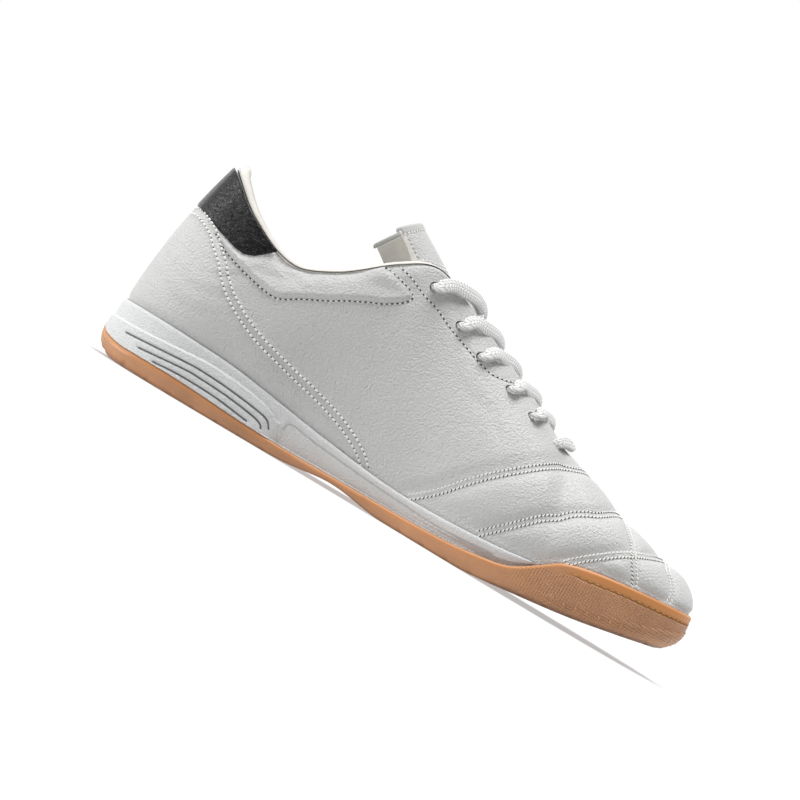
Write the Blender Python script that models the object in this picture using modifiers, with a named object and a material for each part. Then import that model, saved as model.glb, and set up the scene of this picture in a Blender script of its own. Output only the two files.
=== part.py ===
"""Indoor soccer shoe for the left foot, as separate closed pieces at real size.

Metres, +Z up, +X to the toe, +Y to the outer side of the foot, floor at z = 0.
Everything goes round the shoe by `way`: 0 at the back of the heel, 1 at the tip
of the toe by the inner side, and on to 2 at the heel by the outer side.
"""

import math

import bmesh
import bpy
from mathutils import Vector

# Driving dimensions
LENGTH = 0.285
BALL_WIDTH = 0.098
SOLE_HEIGHT = 0.0262
HEEL_HEIGHT = 0.0986
INSTEP_HEIGHT = 0.1064

# Walls and clearances
CLEARANCE = 0.0003
RIM_WALL = 0.0027
UPPER_WALL = 0.002
INSOLE_THICKNESS = 0.0032
TONGUE_THICKNESS = 0.0036
TAB_THICKNESS = 0.001
LINING_THICKNESS = 0.0038
LINING_DEPTH = 0.026
LINING_ROLL = 0.0028
LINING_END = 0.325
LACE_WIDTH = 0.0066
LACE_THICKNESS = 0.0024
EYELET_DIAMETER = 0.004
EYELETS_A_SIDE = 6
COUNTER_STEP = 0.0008
FOXING_STEP = 0.0008
GROOVE_DIAMETER = 0.0014
CHANNEL_WIDTH = 0.003
CHANNEL_DEPTH = 0.0012
CHANNEL_PITCH = 0.0115

RIBS = 72
THROAT_WAY = 2 / 3
SPINE_END = 0.026
CUT_REACH = 0.004
STRAND_REACH = 0.30
CROWN_LIFT = 0.0012
THROAT_UP = Vector((0.40, 0.0, 0.92)).normalized()

# Sole seen from above: share of the ball width on each side of the heel's middle.
OUTLINE = [
    # way, inner, outer
    (0.0, 0.000, 0.000),
    (0.1, 0.214, 0.214),
    (0.2, 0.330, 0.335),
    (0.3, 0.334, 0.362),
    (0.4, 0.308, 0.396),
    (0.5, 0.360, 0.455),
    (0.6, 0.474, 0.498),
    (0.7, 0.487, 0.446),
    (0.8, 0.410, 0.316),
    (0.9, 0.264, 0.132),
    (1.0, 0.075, -0.075),
]

# Sole from the side: shares of the length, then of the sole's height at the heel.
SOLE = [
    # x, underside, cup floor, foot bed
    (0.00, 0.000, 0.275, 0.570),
    (0.14, 0.000, 0.280, 0.550),
    (0.29, 0.000, 0.195, 0.480),
    (0.34, 0.015, 0.190, 0.445),
    (0.42, 0.110, 0.200, 0.400),
    (0.50, 0.010, 0.210, 0.365),
    (0.53, 0.000, 0.220, 0.355),
    (0.60, 0.000, 0.250, 0.350),
    (0.65, 0.000, 0.265, 0.365),
    (0.75, 0.120, 0.330, 0.430),
    (0.83, 0.235, 0.410, 0.510),
    (0.90, 0.370, 0.520, 0.620),
    (1.00, 0.570, 0.680, 0.760),
]

# Edges that run along the sole's side, as shares of the sole's height.
CUP_EDGE = [
    # way, height
    (0.00, 0.500),
    (0.06, 0.370),
    (0.14, 0.290),
    (0.24, 0.294),
    (0.37, 0.214),
    (0.46, 0.225),
    (0.56, 0.271),
    (0.61, 0.363),
    (0.64, 0.470),
    (0.667, 0.725),
    (0.69, 0.950),
    (0.73, 1.092),
    (0.80, 1.190),
    (0.90, 1.245),
    (1.00, 1.252),
]
RIM_EDGE = [
    # way, height
    (0.00, 1.000),
    (0.16, 1.011),
    (0.24, 0.992),
    (0.31, 0.939),
    (0.42, 0.702),
    (0.51, 0.560),
    (0.61, 0.630),
    (0.667, 0.725),
    (0.74, 0.700),
    (1.00, 0.700),
]
STEP_EDGE = [
    # way, height, how far the lower part stands proud
    (0.00, 0.668, 1.0),
    (0.15, 0.694, 1.0),
    (0.25, 0.762, 1.0),
    (0.31, 0.760, 1.0),
    (0.36, 0.640, 0.6),
    (0.39, 0.480, 0.0),
    (0.51, 0.420, 0.0),
    (0.61, 0.500, 0.0),
    (1.00, 0.600, 0.0),
]
# Round lower corner of the sole: shares of the sole's height.
ROUND_EDGE = [
    # way, inset, height
    (0.00, 0.450, 0.450),
    (0.10, 0.330, 0.330),
    (0.20, 0.170, 0.200),
    (0.35, 0.110, 0.140),
    (0.60, 0.110, 0.160),
    (0.80, 0.200, 0.270),
    (0.90, 0.360, 0.400),
    (1.00, 0.480, 0.500),
]

# Top edge of the upper: collar, then throat, then the ridge over the toes.
TOP_EDGE = [
    # way, share of length, share of ball width, share of heel or instep height
    (0.00, 0.050, 0.000, 1.000, HEEL_HEIGHT),
    (0.10, 0.061, 0.112, 0.976, HEEL_HEIGHT),
    (0.20, 0.119, 0.230, 0.852, HEEL_HEIGHT),
    (0.30, 0.204, 0.281, 0.765, HEEL_HEIGHT),
    (0.35, 0.268, 0.286, 0.841, HEEL_HEIGHT),
    (0.40, 0.337, 0.262, 0.924, INSTEP_HEIGHT),
    (0.45, 0.394, 0.200, 1.000, INSTEP_HEIGHT),
    (0.50, 0.462, 0.122, 0.942, INSTEP_HEIGHT),
    (0.55, 0.550, 0.104, 0.836, INSTEP_HEIGHT),
    (0.60, 0.632, 0.090, 0.733, INSTEP_HEIGHT),
    (0.64, 0.678, 0.062, 0.662, INSTEP_HEIGHT),
    (THROAT_WAY, 0.702, 0.000, 0.628, INSTEP_HEIGHT),
    (0.70, 0.737, 0.000, 0.602, INSTEP_HEIGHT),
    (0.80, 0.811, 0.000, 0.525, INSTEP_HEIGHT),
    (0.90, 0.874, 0.000, 0.472, INSTEP_HEIGHT),
    (1.00, 0.919, 0.000, 0.445, INSTEP_HEIGHT),
]
# How each rib of the upper bends, as shares of the instep height.
RIB_BEND = [
    # way, out and up from the sole, out and down from the top edge
    (0.00, 0.000, 0.230, 0.058, 0.205),
    (0.10, 0.006, 0.220, 0.045, 0.195),
    (0.20, 0.018, 0.190, 0.030, 0.180),
    (0.30, 0.018, 0.170, 0.030, 0.170),
    (0.40, 0.022, 0.260, 0.052, 0.235),
    (0.50, 0.036, 0.310, 0.135, 0.150),
    (0.60, 0.038, 0.270, 0.175, 0.080),
    (THROAT_WAY, 0.030, 0.210, 0.188, 0.020),
    (0.80, 0.012, 0.120, 0.165, 0.030),
    (0.90, 0.004, 0.080, 0.130, 0.028),
    (1.00, 0.000, 0.060, 0.115, 0.024),
]
# Seam over the heel counter, where the wall steps in by a leather's thickness.
COUNTER_SEAM = [
    # way, share of heel height, how much of the step is left
    (0.00, 0.735, 1.0),
    (0.10, 0.712, 1.0),
    (0.20, 0.615, 1.0),
    (0.27, 0.480, 1.0),
    (0.33, 0.405, 1.0),
    (0.40, 0.330, 1.0),
    (0.45, 0.235, 0.6),
    (0.48, 0.195, 0.0),
    (0.60, 0.200, 0.0),
    (1.00, 0.380, 0.0),
]
# Lower edge of the black heel tab, by share of length.
TAB_EDGE = [
    # share of length, share of heel height
    (0.020, 0.775),
    (0.060, 0.745),
    (0.095, 0.715),
    (0.120, 0.696),
    (0.145, 0.706),
    (0.160, 0.735),
    (0.172, 0.778),
]
TAB_END = 0.172

# Tongue from its root under the vamp to its tip.
TONGUE = [
    # share of length, of instep height, half width and droop as shares of ball width
    (0.742, 0.566, 0.130, 0.030),
    (0.702, 0.600, 0.180, 0.085),
    (0.660, 0.640, 0.190, 0.120),
    (0.600, 0.722, 0.195, 0.150),
    (0.540, 0.806, 0.195, 0.170),
    (0.480, 0.892, 0.195, 0.175),
    (0.430, 0.970, 0.195, 0.175),
    (0.385, 1.045, 0.190, 0.160),
    (0.336, 1.122, 0.190, 0.150),
]
# Eyelets of the inner side; the outer side mirrors them about the throat.
EYELETS = [
    # share of length, share of instep height
    (0.404, 0.925),
    (0.466, 0.844),
    (0.518, 0.780),
    (0.580, 0.727),
    (0.630, 0.679),
    (0.683, 0.632),
]
# Grooves in the sole's side at the heel: shares of length and sole height.
GROOVES = [
    [(0.038, 0.540), (0.100, 0.580), (0.170, 0.622), (0.216, 0.600), (0.275, 0.528), (0.296, 0.400)],
    [(0.066, 0.430), (0.120, 0.480), (0.170, 0.508), (0.216, 0.485), (0.270, 0.410), (0.288, 0.330)],
    [(0.096, 0.350), (0.140, 0.375), (0.200, 0.365), (0.262, 0.300)],
]

COLOURS = {
    # name: (sRGB hex, roughness)
    "gum_rubber": ("C08050", 0.45),
    "moulded_midsole": ("D4D6D6", 0.55),
    "white_leather": ("E4E4E2", 0.42),
    "black_leather": ("141416", 0.25),
    "lining_fabric": ("D8D4CA", 0.85),
    "lace_cotton": ("EEEEEC", 0.80),
}


def linear(channel):
    """One sRGB channel as linear light."""
    return channel / 12.92 if channel <= 0.04045 else ((channel + 0.055) / 1.055) ** 2.4


def material(name):
    made = bpy.data.materials.get(name)
    if made:
        return made
    hexed, roughness = COLOURS[name]
    made = bpy.data.materials.new(name)
    made.use_nodes = True
    shader = made.node_tree.nodes["Principled BSDF"]
    channels = [linear(int(hexed[i : i + 2], 16) / 255) for i in (0, 2, 4)]
    shader.inputs["Base Color"].default_value = (*channels, 1.0)
    shader.inputs["Roughness"].default_value = roughness
    shader.inputs["Metallic"].default_value = 0.0
    return made


def smooth(rows, at, column=1):
    """A table's column at a place, on a smooth curve through its rows."""
    places = [row[0] for row in rows]
    at = min(max(at, places[0]), places[-1])
    i = max(k for k in range(len(rows) - 1) if places[k] <= at or k == 0)
    width = places[i + 1] - places[i]

    def slope(k):
        low = max(k - 1, 0)
        high = min(k + 1, len(rows) - 1)
        return (rows[high][column] - rows[low][column]) / (places[high] - places[low])

    share = (at - places[i]) / width
    low_value = rows[i][column]
    high_value = rows[i + 1][column]
    if low_value == high_value:
        return low_value
    return (
        (2 * share**3 - 3 * share**2 + 1) * low_value
        + (share**3 - 2 * share**2 + share) * width * slope(i)
        + (3 * share**2 - 2 * share**3) * high_value
        + (share**3 - share**2) * width * slope(i + 1)
    )


def folded(way):
    """A way of 0 to 2 as the same place counted from the heel, and its side."""
    way = way % 2
    return (way, -1) if way <= 1 else (2 - way, 1)


def outline(way):
    """A point of the sole's outline, from above."""
    place, side = folded(way)
    along = LENGTH * (1 - math.cos(math.pi * place)) / 2
    across = smooth(OUTLINE, place, 1 if side < 0 else 2) * side
    return Vector((along, across * BALL_WIDTH, 0))


def outward(way):
    """The outline's outward direction, square to it."""
    step = 0.01
    run = outline(way + step) - outline(way - step)
    return Vector((-run.y, run.x, 0)).normalized() * -1


def middle(way):
    """The line down the middle of the sole, at the same place."""
    place, _ = folded(way)
    half = LENGTH / 2
    along = half - (half - SPINE_END) * math.cos(math.pi * place)
    across = (outline(place).y + outline(2 - place).y) / 2
    return Vector((along, across, 0))


def sole_at(along, column):
    return smooth(SOLE, along / LENGTH, column) * SOLE_HEIGHT


def edge_at(rows, way, column=1):
    return smooth(rows, folded(way)[0], column) * SOLE_HEIGHT


def ring_point(way, inset, height):
    spot = outline(way) - outward(way) * inset
    return Vector((spot.x, spot.y, height))


def top_edge(way):
    """The upper's top edge: collar, throat and then the ridge."""
    place, side = folded(way)
    along = smooth(TOP_EDGE, place, 1) * LENGTH
    half = 0.0 if place >= THROAT_WAY - 1e-6 else max(smooth(TOP_EDGE, place, 2), 0) * BALL_WIDTH
    after = next(k for k in range(1, len(TOP_EDGE)) if TOP_EDGE[k][0] >= min(place, 1.0))
    low_row, high_row = TOP_EDGE[after - 1], TOP_EDGE[after]
    share = (place - low_row[0]) / (high_row[0] - low_row[0])
    size = low_row[4] + (high_row[4] - low_row[4]) * share
    rows = [(row[0], row[3] * row[4] / size) for row in TOP_EDGE]
    height = smooth(rows, place) * size
    return Vector((along, side * half + ridge_across(along), height))


def ridge_across(along):
    """How far the throat and ridge lie to the inner side, for the foot's curve."""
    return -0.05 * BALL_WIDTH * min(max((along / LENGTH - 0.1) / 0.6, 0), 1)


def rib(way, share):
    """A point of the upper's outside on one rib, from the sole's edge to the top."""
    place, _ = folded(way)
    bend = [smooth(RIB_BEND, place, column) * INSTEP_HEIGHT for column in range(1, 5)]
    start = ring_point(way, RIM_WALL + CLEARANCE, upper_foot(way))
    end = top_edge(way)
    out = outward(way)
    first = start + out * bend[0] + Vector((0, 0, bend[1]))
    last = end + out * bend[2] - Vector((0, 0, bend[3]))
    rest = 1 - share
    return (
        start * rest**3
        + first * 3 * rest**2 * share
        + last * 3 * rest * share**2
        + end * share**3
    )


def upper_foot(way):
    """Where the upper comes out of the sole: the higher of the rim and the cup."""
    return max(edge_at(RIM_EDGE, way), edge_at(CUP_EDGE, way))


def rib_share(way, height):
    """How far up a rib a height lies."""
    low, high = 0.0, 1.0
    for _ in range(30):
        half = (low + high) / 2
        if rib(way, half).z < height:
            low = half
        else:
            high = half
    return (low + high) / 2


def surface_normal(way, share):
    """The upper's outward direction at a point of a rib."""
    step = 0.01
    if share > 0.97 and folded(way)[0] > THROAT_WAY:
        share = 0.97
    along = rib(way + step, share) - rib(way - step, share)
    up = rib(way, min(share + step, 1)) - rib(way, max(share - step, 0))
    return along.cross(up).normalized()


def skin(way, share, lift):
    """A point at a given distance outside the upper."""
    return rib(way, share) + surface_normal(way, share) * lift


def way_of(along):
    """The way at which a top edge point lies this far along."""
    low, high = 0.0, THROAT_WAY
    for _ in range(40):
        half = (low + high) / 2
        if top_edge(half).x < along:
            low = half
        else:
            high = half
    return low


def grid_mesh(name, rows, closed_round=False):
    """A mesh over rows of points; a face between each four neighbours."""
    mesh = bpy.data.meshes.new(name)
    shape = bmesh.new()
    made = [[shape.verts.new(point) for point in row] for row in rows]
    count = len(rows[0])
    last = count if closed_round else count - 1
    for low, high in zip(made, made[1:]):
        for i in range(last):
            j = (i + 1) % count
            shape.faces.new((low[i], low[j], high[j], high[i]))
    bmesh.ops.remove_doubles(shape, verts=shape.verts, dist=0.00002)
    shape.to_mesh(mesh)
    shape.free()
    mesh.update()
    return mesh


def placed(mesh, colour, collection, smoothed=True):
    made = bpy.data.objects.new(mesh.name, mesh)
    mesh.materials.append(material(colour))
    if smoothed:
        mesh.shade_smooth()
    collection.objects.link(made)
    made.location.x = -LENGTH / 2
    return made


def outwards(made):
    """Turns a closed mesh's faces outward."""
    shape = bmesh.new()
    shape.from_mesh(made.data)
    bmesh.ops.recalc_face_normals(shape, faces=shape.faces)
    shape.to_mesh(made.data)
    shape.free()


def thicken(made, thickness):
    """Gives an open sheet a wall on its inner side."""
    wall = made.modifiers.new("wall", "SOLIDIFY")
    wall.thickness = thickness
    wall.offset = -1
    wall.use_even_offset = True
    return made


def cut(made, cutter):
    """Takes a cutter away from a piece."""
    cutter.hide_render = True
    cutter.display_type = "WIRE"
    taken = made.modifiers.new(cutter.name, "BOOLEAN")
    taken.operation = "DIFFERENCE"
    taken.object = cutter


def ways():
    return [2 * i / RIBS for i in range(RIBS)]


def cup_hollow(way, grow):
    """The cup's edge and floor heights at a rib, raised by a clearance."""
    floor_spot = ring_point(way, RIM_WALL + grow, 0)
    floor = sole_at(floor_spot.x, 2) + grow
    edge = max(edge_at(CUP_EDGE, way) + grow, floor + CLEARANCE)
    return edge, floor


def cup_rings():
    """Rings of the gum cup's section from its underside round to its floor."""
    rings = [[] for _ in range(9)]
    for way in ways():
        centre = middle(way)
        inset = edge_at(ROUND_EDGE, way, 1)
        high = edge_at(ROUND_EDGE, way, 2)
        bottom_spot = ring_point(way, inset, 0)
        bottom = sole_at(bottom_spot.x, 1)
        edge, floor = cup_hollow(way, 0)
        side_low = min(bottom + high, edge - 0.001)
        rings[0].append(centre + Vector((0, 0, sole_at(centre.x, 1))))
        rings[1].append(Vector((bottom_spot.x, bottom_spot.y, bottom)))
        for k, angle in ((2, 30), (3, 60)):
            turn = math.radians(angle)
            rings[k].append(
                ring_point(
                    way,
                    inset * (1 - math.sin(turn)),
                    bottom + (side_low - bottom) * (1 - math.cos(turn)),
                )
            )
        rings[4].append(ring_point(way, 0, side_low))
        rings[5].append(ring_point(way, side_lean(edge), edge))
        rings[6].append(ring_point(way, RIM_WALL, edge))
        rings[7].append(ring_point(way, RIM_WALL, floor))
        rings[8].append(centre + Vector((0, 0, sole_at(centre.x, 2))))
    return rings


def cup_space_rings():
    """Rings round all that lies under the cup's floor and outside its hollow."""
    rings = [[] for _ in range(6)]
    for way in ways():
        centre = middle(way)
        edge, floor = cup_hollow(way, CLEARANCE)
        rings[0].append(centre - Vector((0, 0, CUT_REACH)))
        rings[1].append(ring_point(way, -CUT_REACH, -CUT_REACH))
        rings[2].append(ring_point(way, -CUT_REACH, edge))
        rings[3].append(ring_point(way, RIM_WALL + CLEARANCE, edge))
        rings[4].append(ring_point(way, RIM_WALL + CLEARANCE, floor))
        rings[5].append(centre + Vector((0, 0, sole_at(centre.x, 2) + CLEARANCE)))
    return rings


def side_lean(height):
    """How far the sole's side leans in at a height."""
    return 0.04 * max(height - SOLE_HEIGHT / 2, 0)


def make_outsole(parts):
    """The gum cup: flat underneath at heel and ball, and up over the toe."""
    return finish_shell(grid_mesh("outsole", cup_rings(), True), "gum_rubber", parts)


def finish_shell(mesh, colour, parts):
    made = placed(mesh, colour, parts)
    outwards(made)
    return made


def make_midsole(parts):
    """The pale midsole: it fills the cup, carries the foot bed and has a rim."""
    rings = [[] for _ in range(9)]
    for way in ways():
        centre = middle(way)
        edge_spot = ring_point(way, RIM_WALL, 0)
        floor = sole_at(edge_spot.x, 2) - 0.001
        bed = sole_at(edge_spot.x, 3)
        top = max(edge_at(RIM_EDGE, way), bed + 0.001)
        step = min(edge_at(STEP_EDGE, way), top - 0.002)
        proud = smooth(STEP_EDGE, folded(way)[0], 2) * FOXING_STEP
        rings[0].append(centre + Vector((0, 0, sole_at(centre.x, 2) - 0.001)))
        rings[1].append(ring_point(way, RIM_WALL * 2, floor))
        rings[2].append(ring_point(way, 0, floor))
        rings[3].append(ring_point(way, side_lean(step), step))
        rings[4].append(ring_point(way, side_lean(step) + proud, step + FOXING_STEP))
        rings[5].append(ring_point(way, side_lean(top) + proud, top))
        rings[6].append(ring_point(way, RIM_WALL, top))
        rings[7].append(ring_point(way, RIM_WALL, bed))
        rings[8].append(centre + Vector((0, 0, sole_at(centre.x, 3))))
    return finish_shell(grid_mesh("midsole", rings, True), "moulded_midsole", parts)


def cup_cutter(cutters):
    """What the cup takes up, with its clearance, to shape the midsole's underside."""
    mesh = grid_mesh("cup_space", cup_space_rings(), True)
    return finish_shell(mesh, "gum_rubber", cutters)


def groove_cutters(cutters):
    """Round-bottomed grooves along the sole's side at the heel, on both sides."""
    made = []
    for number, route in enumerate(GROOVES, 1):
        for side in (-1, 1):
            first, last = route[0][0], route[-1][0]
            count = 14
            curve = bpy.data.curves.new(f"groove_{number}", "CURVE")
            curve.dimensions = "3D"
            curve.bevel_depth = GROOVE_DIAMETER / 2
            curve.bevel_resolution = 1
            curve.use_fill_caps = True
            line = curve.splines.new("POLY")
            line.points.add(count - 1)
            for i in range(count):
                place = first + (last - first) * math.sin(math.pi / 2 * i / (count - 1))
                height = smooth(route, place) * SOLE_HEIGHT
                around = math.acos(1 - 2 * place) / math.pi
                spot = ring_point(around if side < 0 else 2 - around, side_lean(height), height)
                line.points[i].co = (*spot, 1)
            tube = bpy.data.objects.new(f"groove_{number}", curve)
            cutters.objects.link(tube)
            made.append(as_mesh(tube, cutters, "inner" if side < 0 else "outer"))
    return made


def as_mesh(tube, collection, word):
    """A curve as a mesh with its caps welded, in place of the curve."""
    bpy.context.view_layer.update()
    evaluated = tube.evaluated_get(bpy.context.evaluated_depsgraph_get())
    mesh = bpy.data.meshes.new_from_object(evaluated)
    mesh.name = f"{tube.name}_{word}"
    shape = bmesh.new()
    shape.from_mesh(mesh)
    bmesh.ops.remove_doubles(shape, verts=shape.verts, dist=0.00001)
    bmesh.ops.recalc_face_normals(shape, faces=shape.faces)
    shape.to_mesh(mesh)
    shape.free()
    made = bpy.data.objects.new(mesh.name, mesh)
    made.matrix_world = tube.matrix_world
    collection.objects.link(made)
    bpy.data.objects.remove(tube)
    made.location.x = -LENGTH / 2
    return made


def channel_cutters(cutters):
    """Channels across the tread at the ball and heel."""
    made = []
    for first, last in ((0.07, 0.30), (0.53, 0.80)):
        along = first * LENGTH
        while along < last * LENGTH:
            bpy.ops.mesh.primitive_cube_add(size=1)
            block = bpy.context.object
            block.name = f"tread_channel_{len(made) + 1}"
            block.scale = (CHANNEL_WIDTH, BALL_WIDTH * 1.3, CHANNEL_DEPTH * 2)
            block.location = (along - LENGTH / 2, 0, sole_at(along, 1))
            block.rotation_euler.y = -math.atan2(
                sole_at(along + CHANNEL_PITCH / 2, 1) - sole_at(along - CHANNEL_PITCH / 2, 1),
                CHANNEL_PITCH,
            )
            for holder in list(block.users_collection):
                holder.objects.unlink(block)
            cutters.objects.link(block)
            made.append(block)
            along += CHANNEL_PITCH
    return made


def upper_rows():
    """Rows of the upper's outside, from the foot bed to its top edge."""
    levels = 8
    rows = [[] for _ in range(levels + 4)]
    for way in ways():
        bed_spot = ring_point(way, RIM_WALL + CLEARANCE, 0)
        bed = sole_at(bed_spot.x, 3) + CLEARANCE
        place, _ = folded(way)
        rows[0].append(Vector((bed_spot.x, bed_spot.y, bed)))
        start = rib(way, 0)
        rows[1].append(start)
        seam_height = smooth(COUNTER_SEAM, place) * HEEL_HEIGHT
        seam_height = max(seam_height, start.z + 0.002)
        seam = min(rib_share(way, seam_height), 0.8)
        proud = smooth(COUNTER_SEAM, place, 2) * COUNTER_STEP
        rows[2].append(skin(way, seam / 2, proud))
        rows[3].append(skin(way, seam, proud))
        above = seam + 0.012
        for k in range(levels):
            share = above + (1 - above) * k / (levels - 1)
            rows[4 + k].append(rib(way, share))
    return rows


def make_upper(parts):
    """The upper: one hollow wall, open at collar and throat and underneath."""
    made = placed(grid_mesh("upper", upper_rows(), True), "white_leather", parts)
    point_sheet_out(made)
    return thicken(made, UPPER_WALL)


def point_sheet_out(made):
    """Turns an open sheet so that its faces look away from the foot."""
    shape = bmesh.new()
    shape.from_mesh(made.data)
    bmesh.ops.recalc_face_normals(shape, faces=shape.faces)
    inside = Vector((LENGTH / 2, 0, INSTEP_HEIGHT / 3))
    facing = sum((face.calc_center_median() - inside).dot(face.normal) for face in shape.faces)
    if facing < 0:
        bmesh.ops.reverse_faces(shape, faces=shape.faces)
    shape.to_mesh(made.data)
    shape.free()


def eyelet_spot(number, side):
    """An eyelet's place on the upper, as way and share."""
    along, height = EYELETS[number]
    along *= LENGTH
    height *= INSTEP_HEIGHT
    low, high = 0.35, THROAT_WAY
    for _ in range(40):
        half = (low + high) / 2
        if rib(half, rib_share(half, height)).x < along:
            low = half
        else:
            high = half
    way = low if side < 0 else 2 - low
    return way, rib_share(low, height)


def eyelet_cutters(cutters):
    made = []
    for number in range(EYELETS_A_SIDE):
        for side in (-1, 1):
            way, share = eyelet_spot(number, side)
            bpy.ops.mesh.primitive_cylinder_add(
                vertices=10, radius=EYELET_DIAMETER / 2, depth=UPPER_WALL * 6
            )
            pin = bpy.context.object
            pin.name = f"eyelet_{number + 1}_{'inner' if side < 0 else 'outer'}"
            turn = surface_normal(way, share).to_track_quat("Z", "Y")
            pin.rotation_euler = turn.to_euler()
            pin.location = rib(way, share) - Vector((LENGTH / 2, 0, 0))
            for holder in list(pin.users_collection):
                holder.objects.unlink(pin)
            cutters.objects.link(pin)
            made.append(pin)
    return made


def make_heel_tab(parts):
    """The black leather tab over the back of the collar."""
    end = way_of(TAB_END * LENGTH)
    count, levels = 16, 5
    rows = [[] for _ in range(levels)]
    for i in range(count + 1):
        way = end * (2 * i / count - 1)
        place = abs(way)
        low = 0.3
        high = 1.0
        for _ in range(30):
            half = (low + high) / 2
            spot = rib(place, half)
            if spot.z < smooth(TAB_EDGE, spot.x / LENGTH) * HEEL_HEIGHT:
                low = half
            else:
                high = half
        low = min(low, 0.97)
        for k in range(levels):
            share = low + (0.995 - low) * k / (levels - 1)
            rows[k].append(skin(way, share, 2 * CLEARANCE + TAB_THICKNESS))
    made = placed(grid_mesh("heel_tab", rows), "black_leather", parts)
    point_sheet_out(made)
    return thicken(made, TAB_THICKNESS)


def make_lining(parts):
    """The padded lining that rolls up inside the collar and stands above it."""
    end = way_of(LINING_END * LENGTH)
    count, levels = 30, 6
    rows = [[] for _ in range(levels)]
    for i in range(count + 1):
        way = end * (2 * i / count - 1)
        depth = LINING_DEPTH / (rib(way, 1) - rib(way, 0)).length
        low = 1 - depth
        for k in range(levels - 1):
            share = low + (1 - low) * k / (levels - 2)
            rows[k].append(skin(way, share, -UPPER_WALL - 2 * CLEARANCE))
        rise = (rib(way, 1) - rib(way, 0.94)).normalized() * lining_rise(way)
        rows[levels - 1].append(rows[levels - 2][-1] + rise)
    made = placed(grid_mesh("collar_lining", rows), "lining_fabric", parts)
    point_sheet_out(made)
    return thicken(made, LINING_THICKNESS)


def lining_rise(way):
    """How far the lining stands above the leather: most at the back of the heel."""
    place = folded(way)[0]
    return LINING_ROLL * (0.35 + 0.65 * max(1 - place / 0.3, 0))


def tongue_point(share_along, turn, sink=0.0):
    """A point of the tongue's outside: along its run, and round its arch."""
    rows = TONGUE
    spot = share_along * (len(rows) - 1)
    table = [(k, *row) for k, row in enumerate(rows)]
    along = smooth(table, spot, 1) * LENGTH
    height = smooth(table, spot, 2) * INSTEP_HEIGHT
    half = smooth(table, spot, 3) * BALL_WIDTH
    droop = smooth(table, spot, 4) * BALL_WIDTH
    ahead = min(spot + 0.2, len(rows) - 1)
    behind = max(spot - 0.2, 0)
    run = Vector(
        (
            (smooth(table, ahead, 1) - smooth(table, behind, 1)) * LENGTH,
            0,
            (smooth(table, ahead, 2) - smooth(table, behind, 2)) * INSTEP_HEIGHT,
        )
    ).normalized()
    down = Vector((run.z, 0, -run.x)) if run.x > 0 else Vector((-run.z, 0, run.x))
    arch = (1 - math.cos(turn)) / (1 - math.cos(math.radians(75)))
    wide = math.sin(turn) / math.sin(math.radians(75))
    across = ridge_across(along) + wide * half
    return Vector((along, across, height)) + down * (droop * arch + sink)


def make_tongue(parts):
    """The padded tongue, arched over the instep and standing above the collar."""
    rows = []
    across = 10
    for k in range(15):
        rows.append(
            [
                tongue_point(k / 14, math.radians(75) * (2 * i / across - 1))
                for i in range(across + 1)
            ]
        )
    made = placed(grid_mesh("tongue", rows), "white_leather", parts)
    point_sheet_up(made)
    return thicken(made, TONGUE_THICKNESS)


def point_sheet_up(made):
    shape = bmesh.new()
    shape.from_mesh(made.data)
    if sum(face.normal.z * face.calc_area() for face in shape.faces) < 0:
        bmesh.ops.reverse_faces(shape, faces=shape.faces)
    shape.to_mesh(made.data)
    shape.free()


def make_insole(parts):
    """The thin insole on the foot bed, inside the upper."""
    inset = RIM_WALL + UPPER_WALL + 4 * CLEARANCE
    rings = [[] for _ in range(5)]
    for way in ways():
        centre = middle(way)
        edge = ring_point(way, inset, 0)
        low = sole_at(edge.x, 3) + CLEARANCE
        middle_low = sole_at(centre.x, 3) + CLEARANCE
        rings[0].append(centre + Vector((0, 0, middle_low)))
        rings[1].append(edge + Vector((0, 0, low)))
        rings[2].append(edge + Vector((0, 0, low + INSOLE_THICKNESS * 0.75)))
        soft = ring_point(way, inset + INSOLE_THICKNESS * 0.5, 0)
        rings[3].append(soft + Vector((0, 0, sole_at(soft.x, 3) + CLEARANCE + INSOLE_THICKNESS)))
        rings[4].append(centre + Vector((0, 0, middle_low + INSOLE_THICKNESS)))
    return finish_shell(grid_mesh("insole", rings, True), "lining_fabric", parts)


def sweep(name, route, tops, colour, parts):
    """A flat oval band along a route, with its top turned the way that is given."""
    sides = 8
    rings = []
    for i, spot in enumerate(route):
        run = (route[min(i + 1, len(route) - 1)] - route[max(i - 1, 0)]).normalized()
        across = run.cross(tops[i]).normalized()
        top = across.cross(run)
        ring = []
        for k in range(sides):
            turn = 2 * math.pi * (k + 0.5) / sides
            ring.append(
                spot
                + across * math.cos(turn) * LACE_WIDTH / 2
                + top * math.sin(turn) * LACE_THICKNESS / 2
            )
        rings.append(ring)
    mesh = bpy.data.meshes.new(name)
    shape = bmesh.new()
    made = [[shape.verts.new(point) for point in ring] for ring in rings]
    for low, high in zip(made, made[1:]):
        for k in range(sides):
            j = (k + 1) % sides
            shape.faces.new((low[k], low[j], high[j], high[k]))
    shape.faces.new(made[0])
    shape.faces.new(made[-1])
    bmesh.ops.recalc_face_normals(shape, faces=shape.faces)
    shape.to_mesh(mesh)
    shape.free()
    return placed(mesh, colour, parts)


def tongue_crown(along):
    """The top of the tongue's arch at a place along the shoe."""
    low, high = 0.0, 1.0
    for _ in range(30):
        half = (low + high) / 2
        if tongue_point(half, 0).x > along:
            low = half
        else:
            high = half
    return tongue_point(low, 0)


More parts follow.
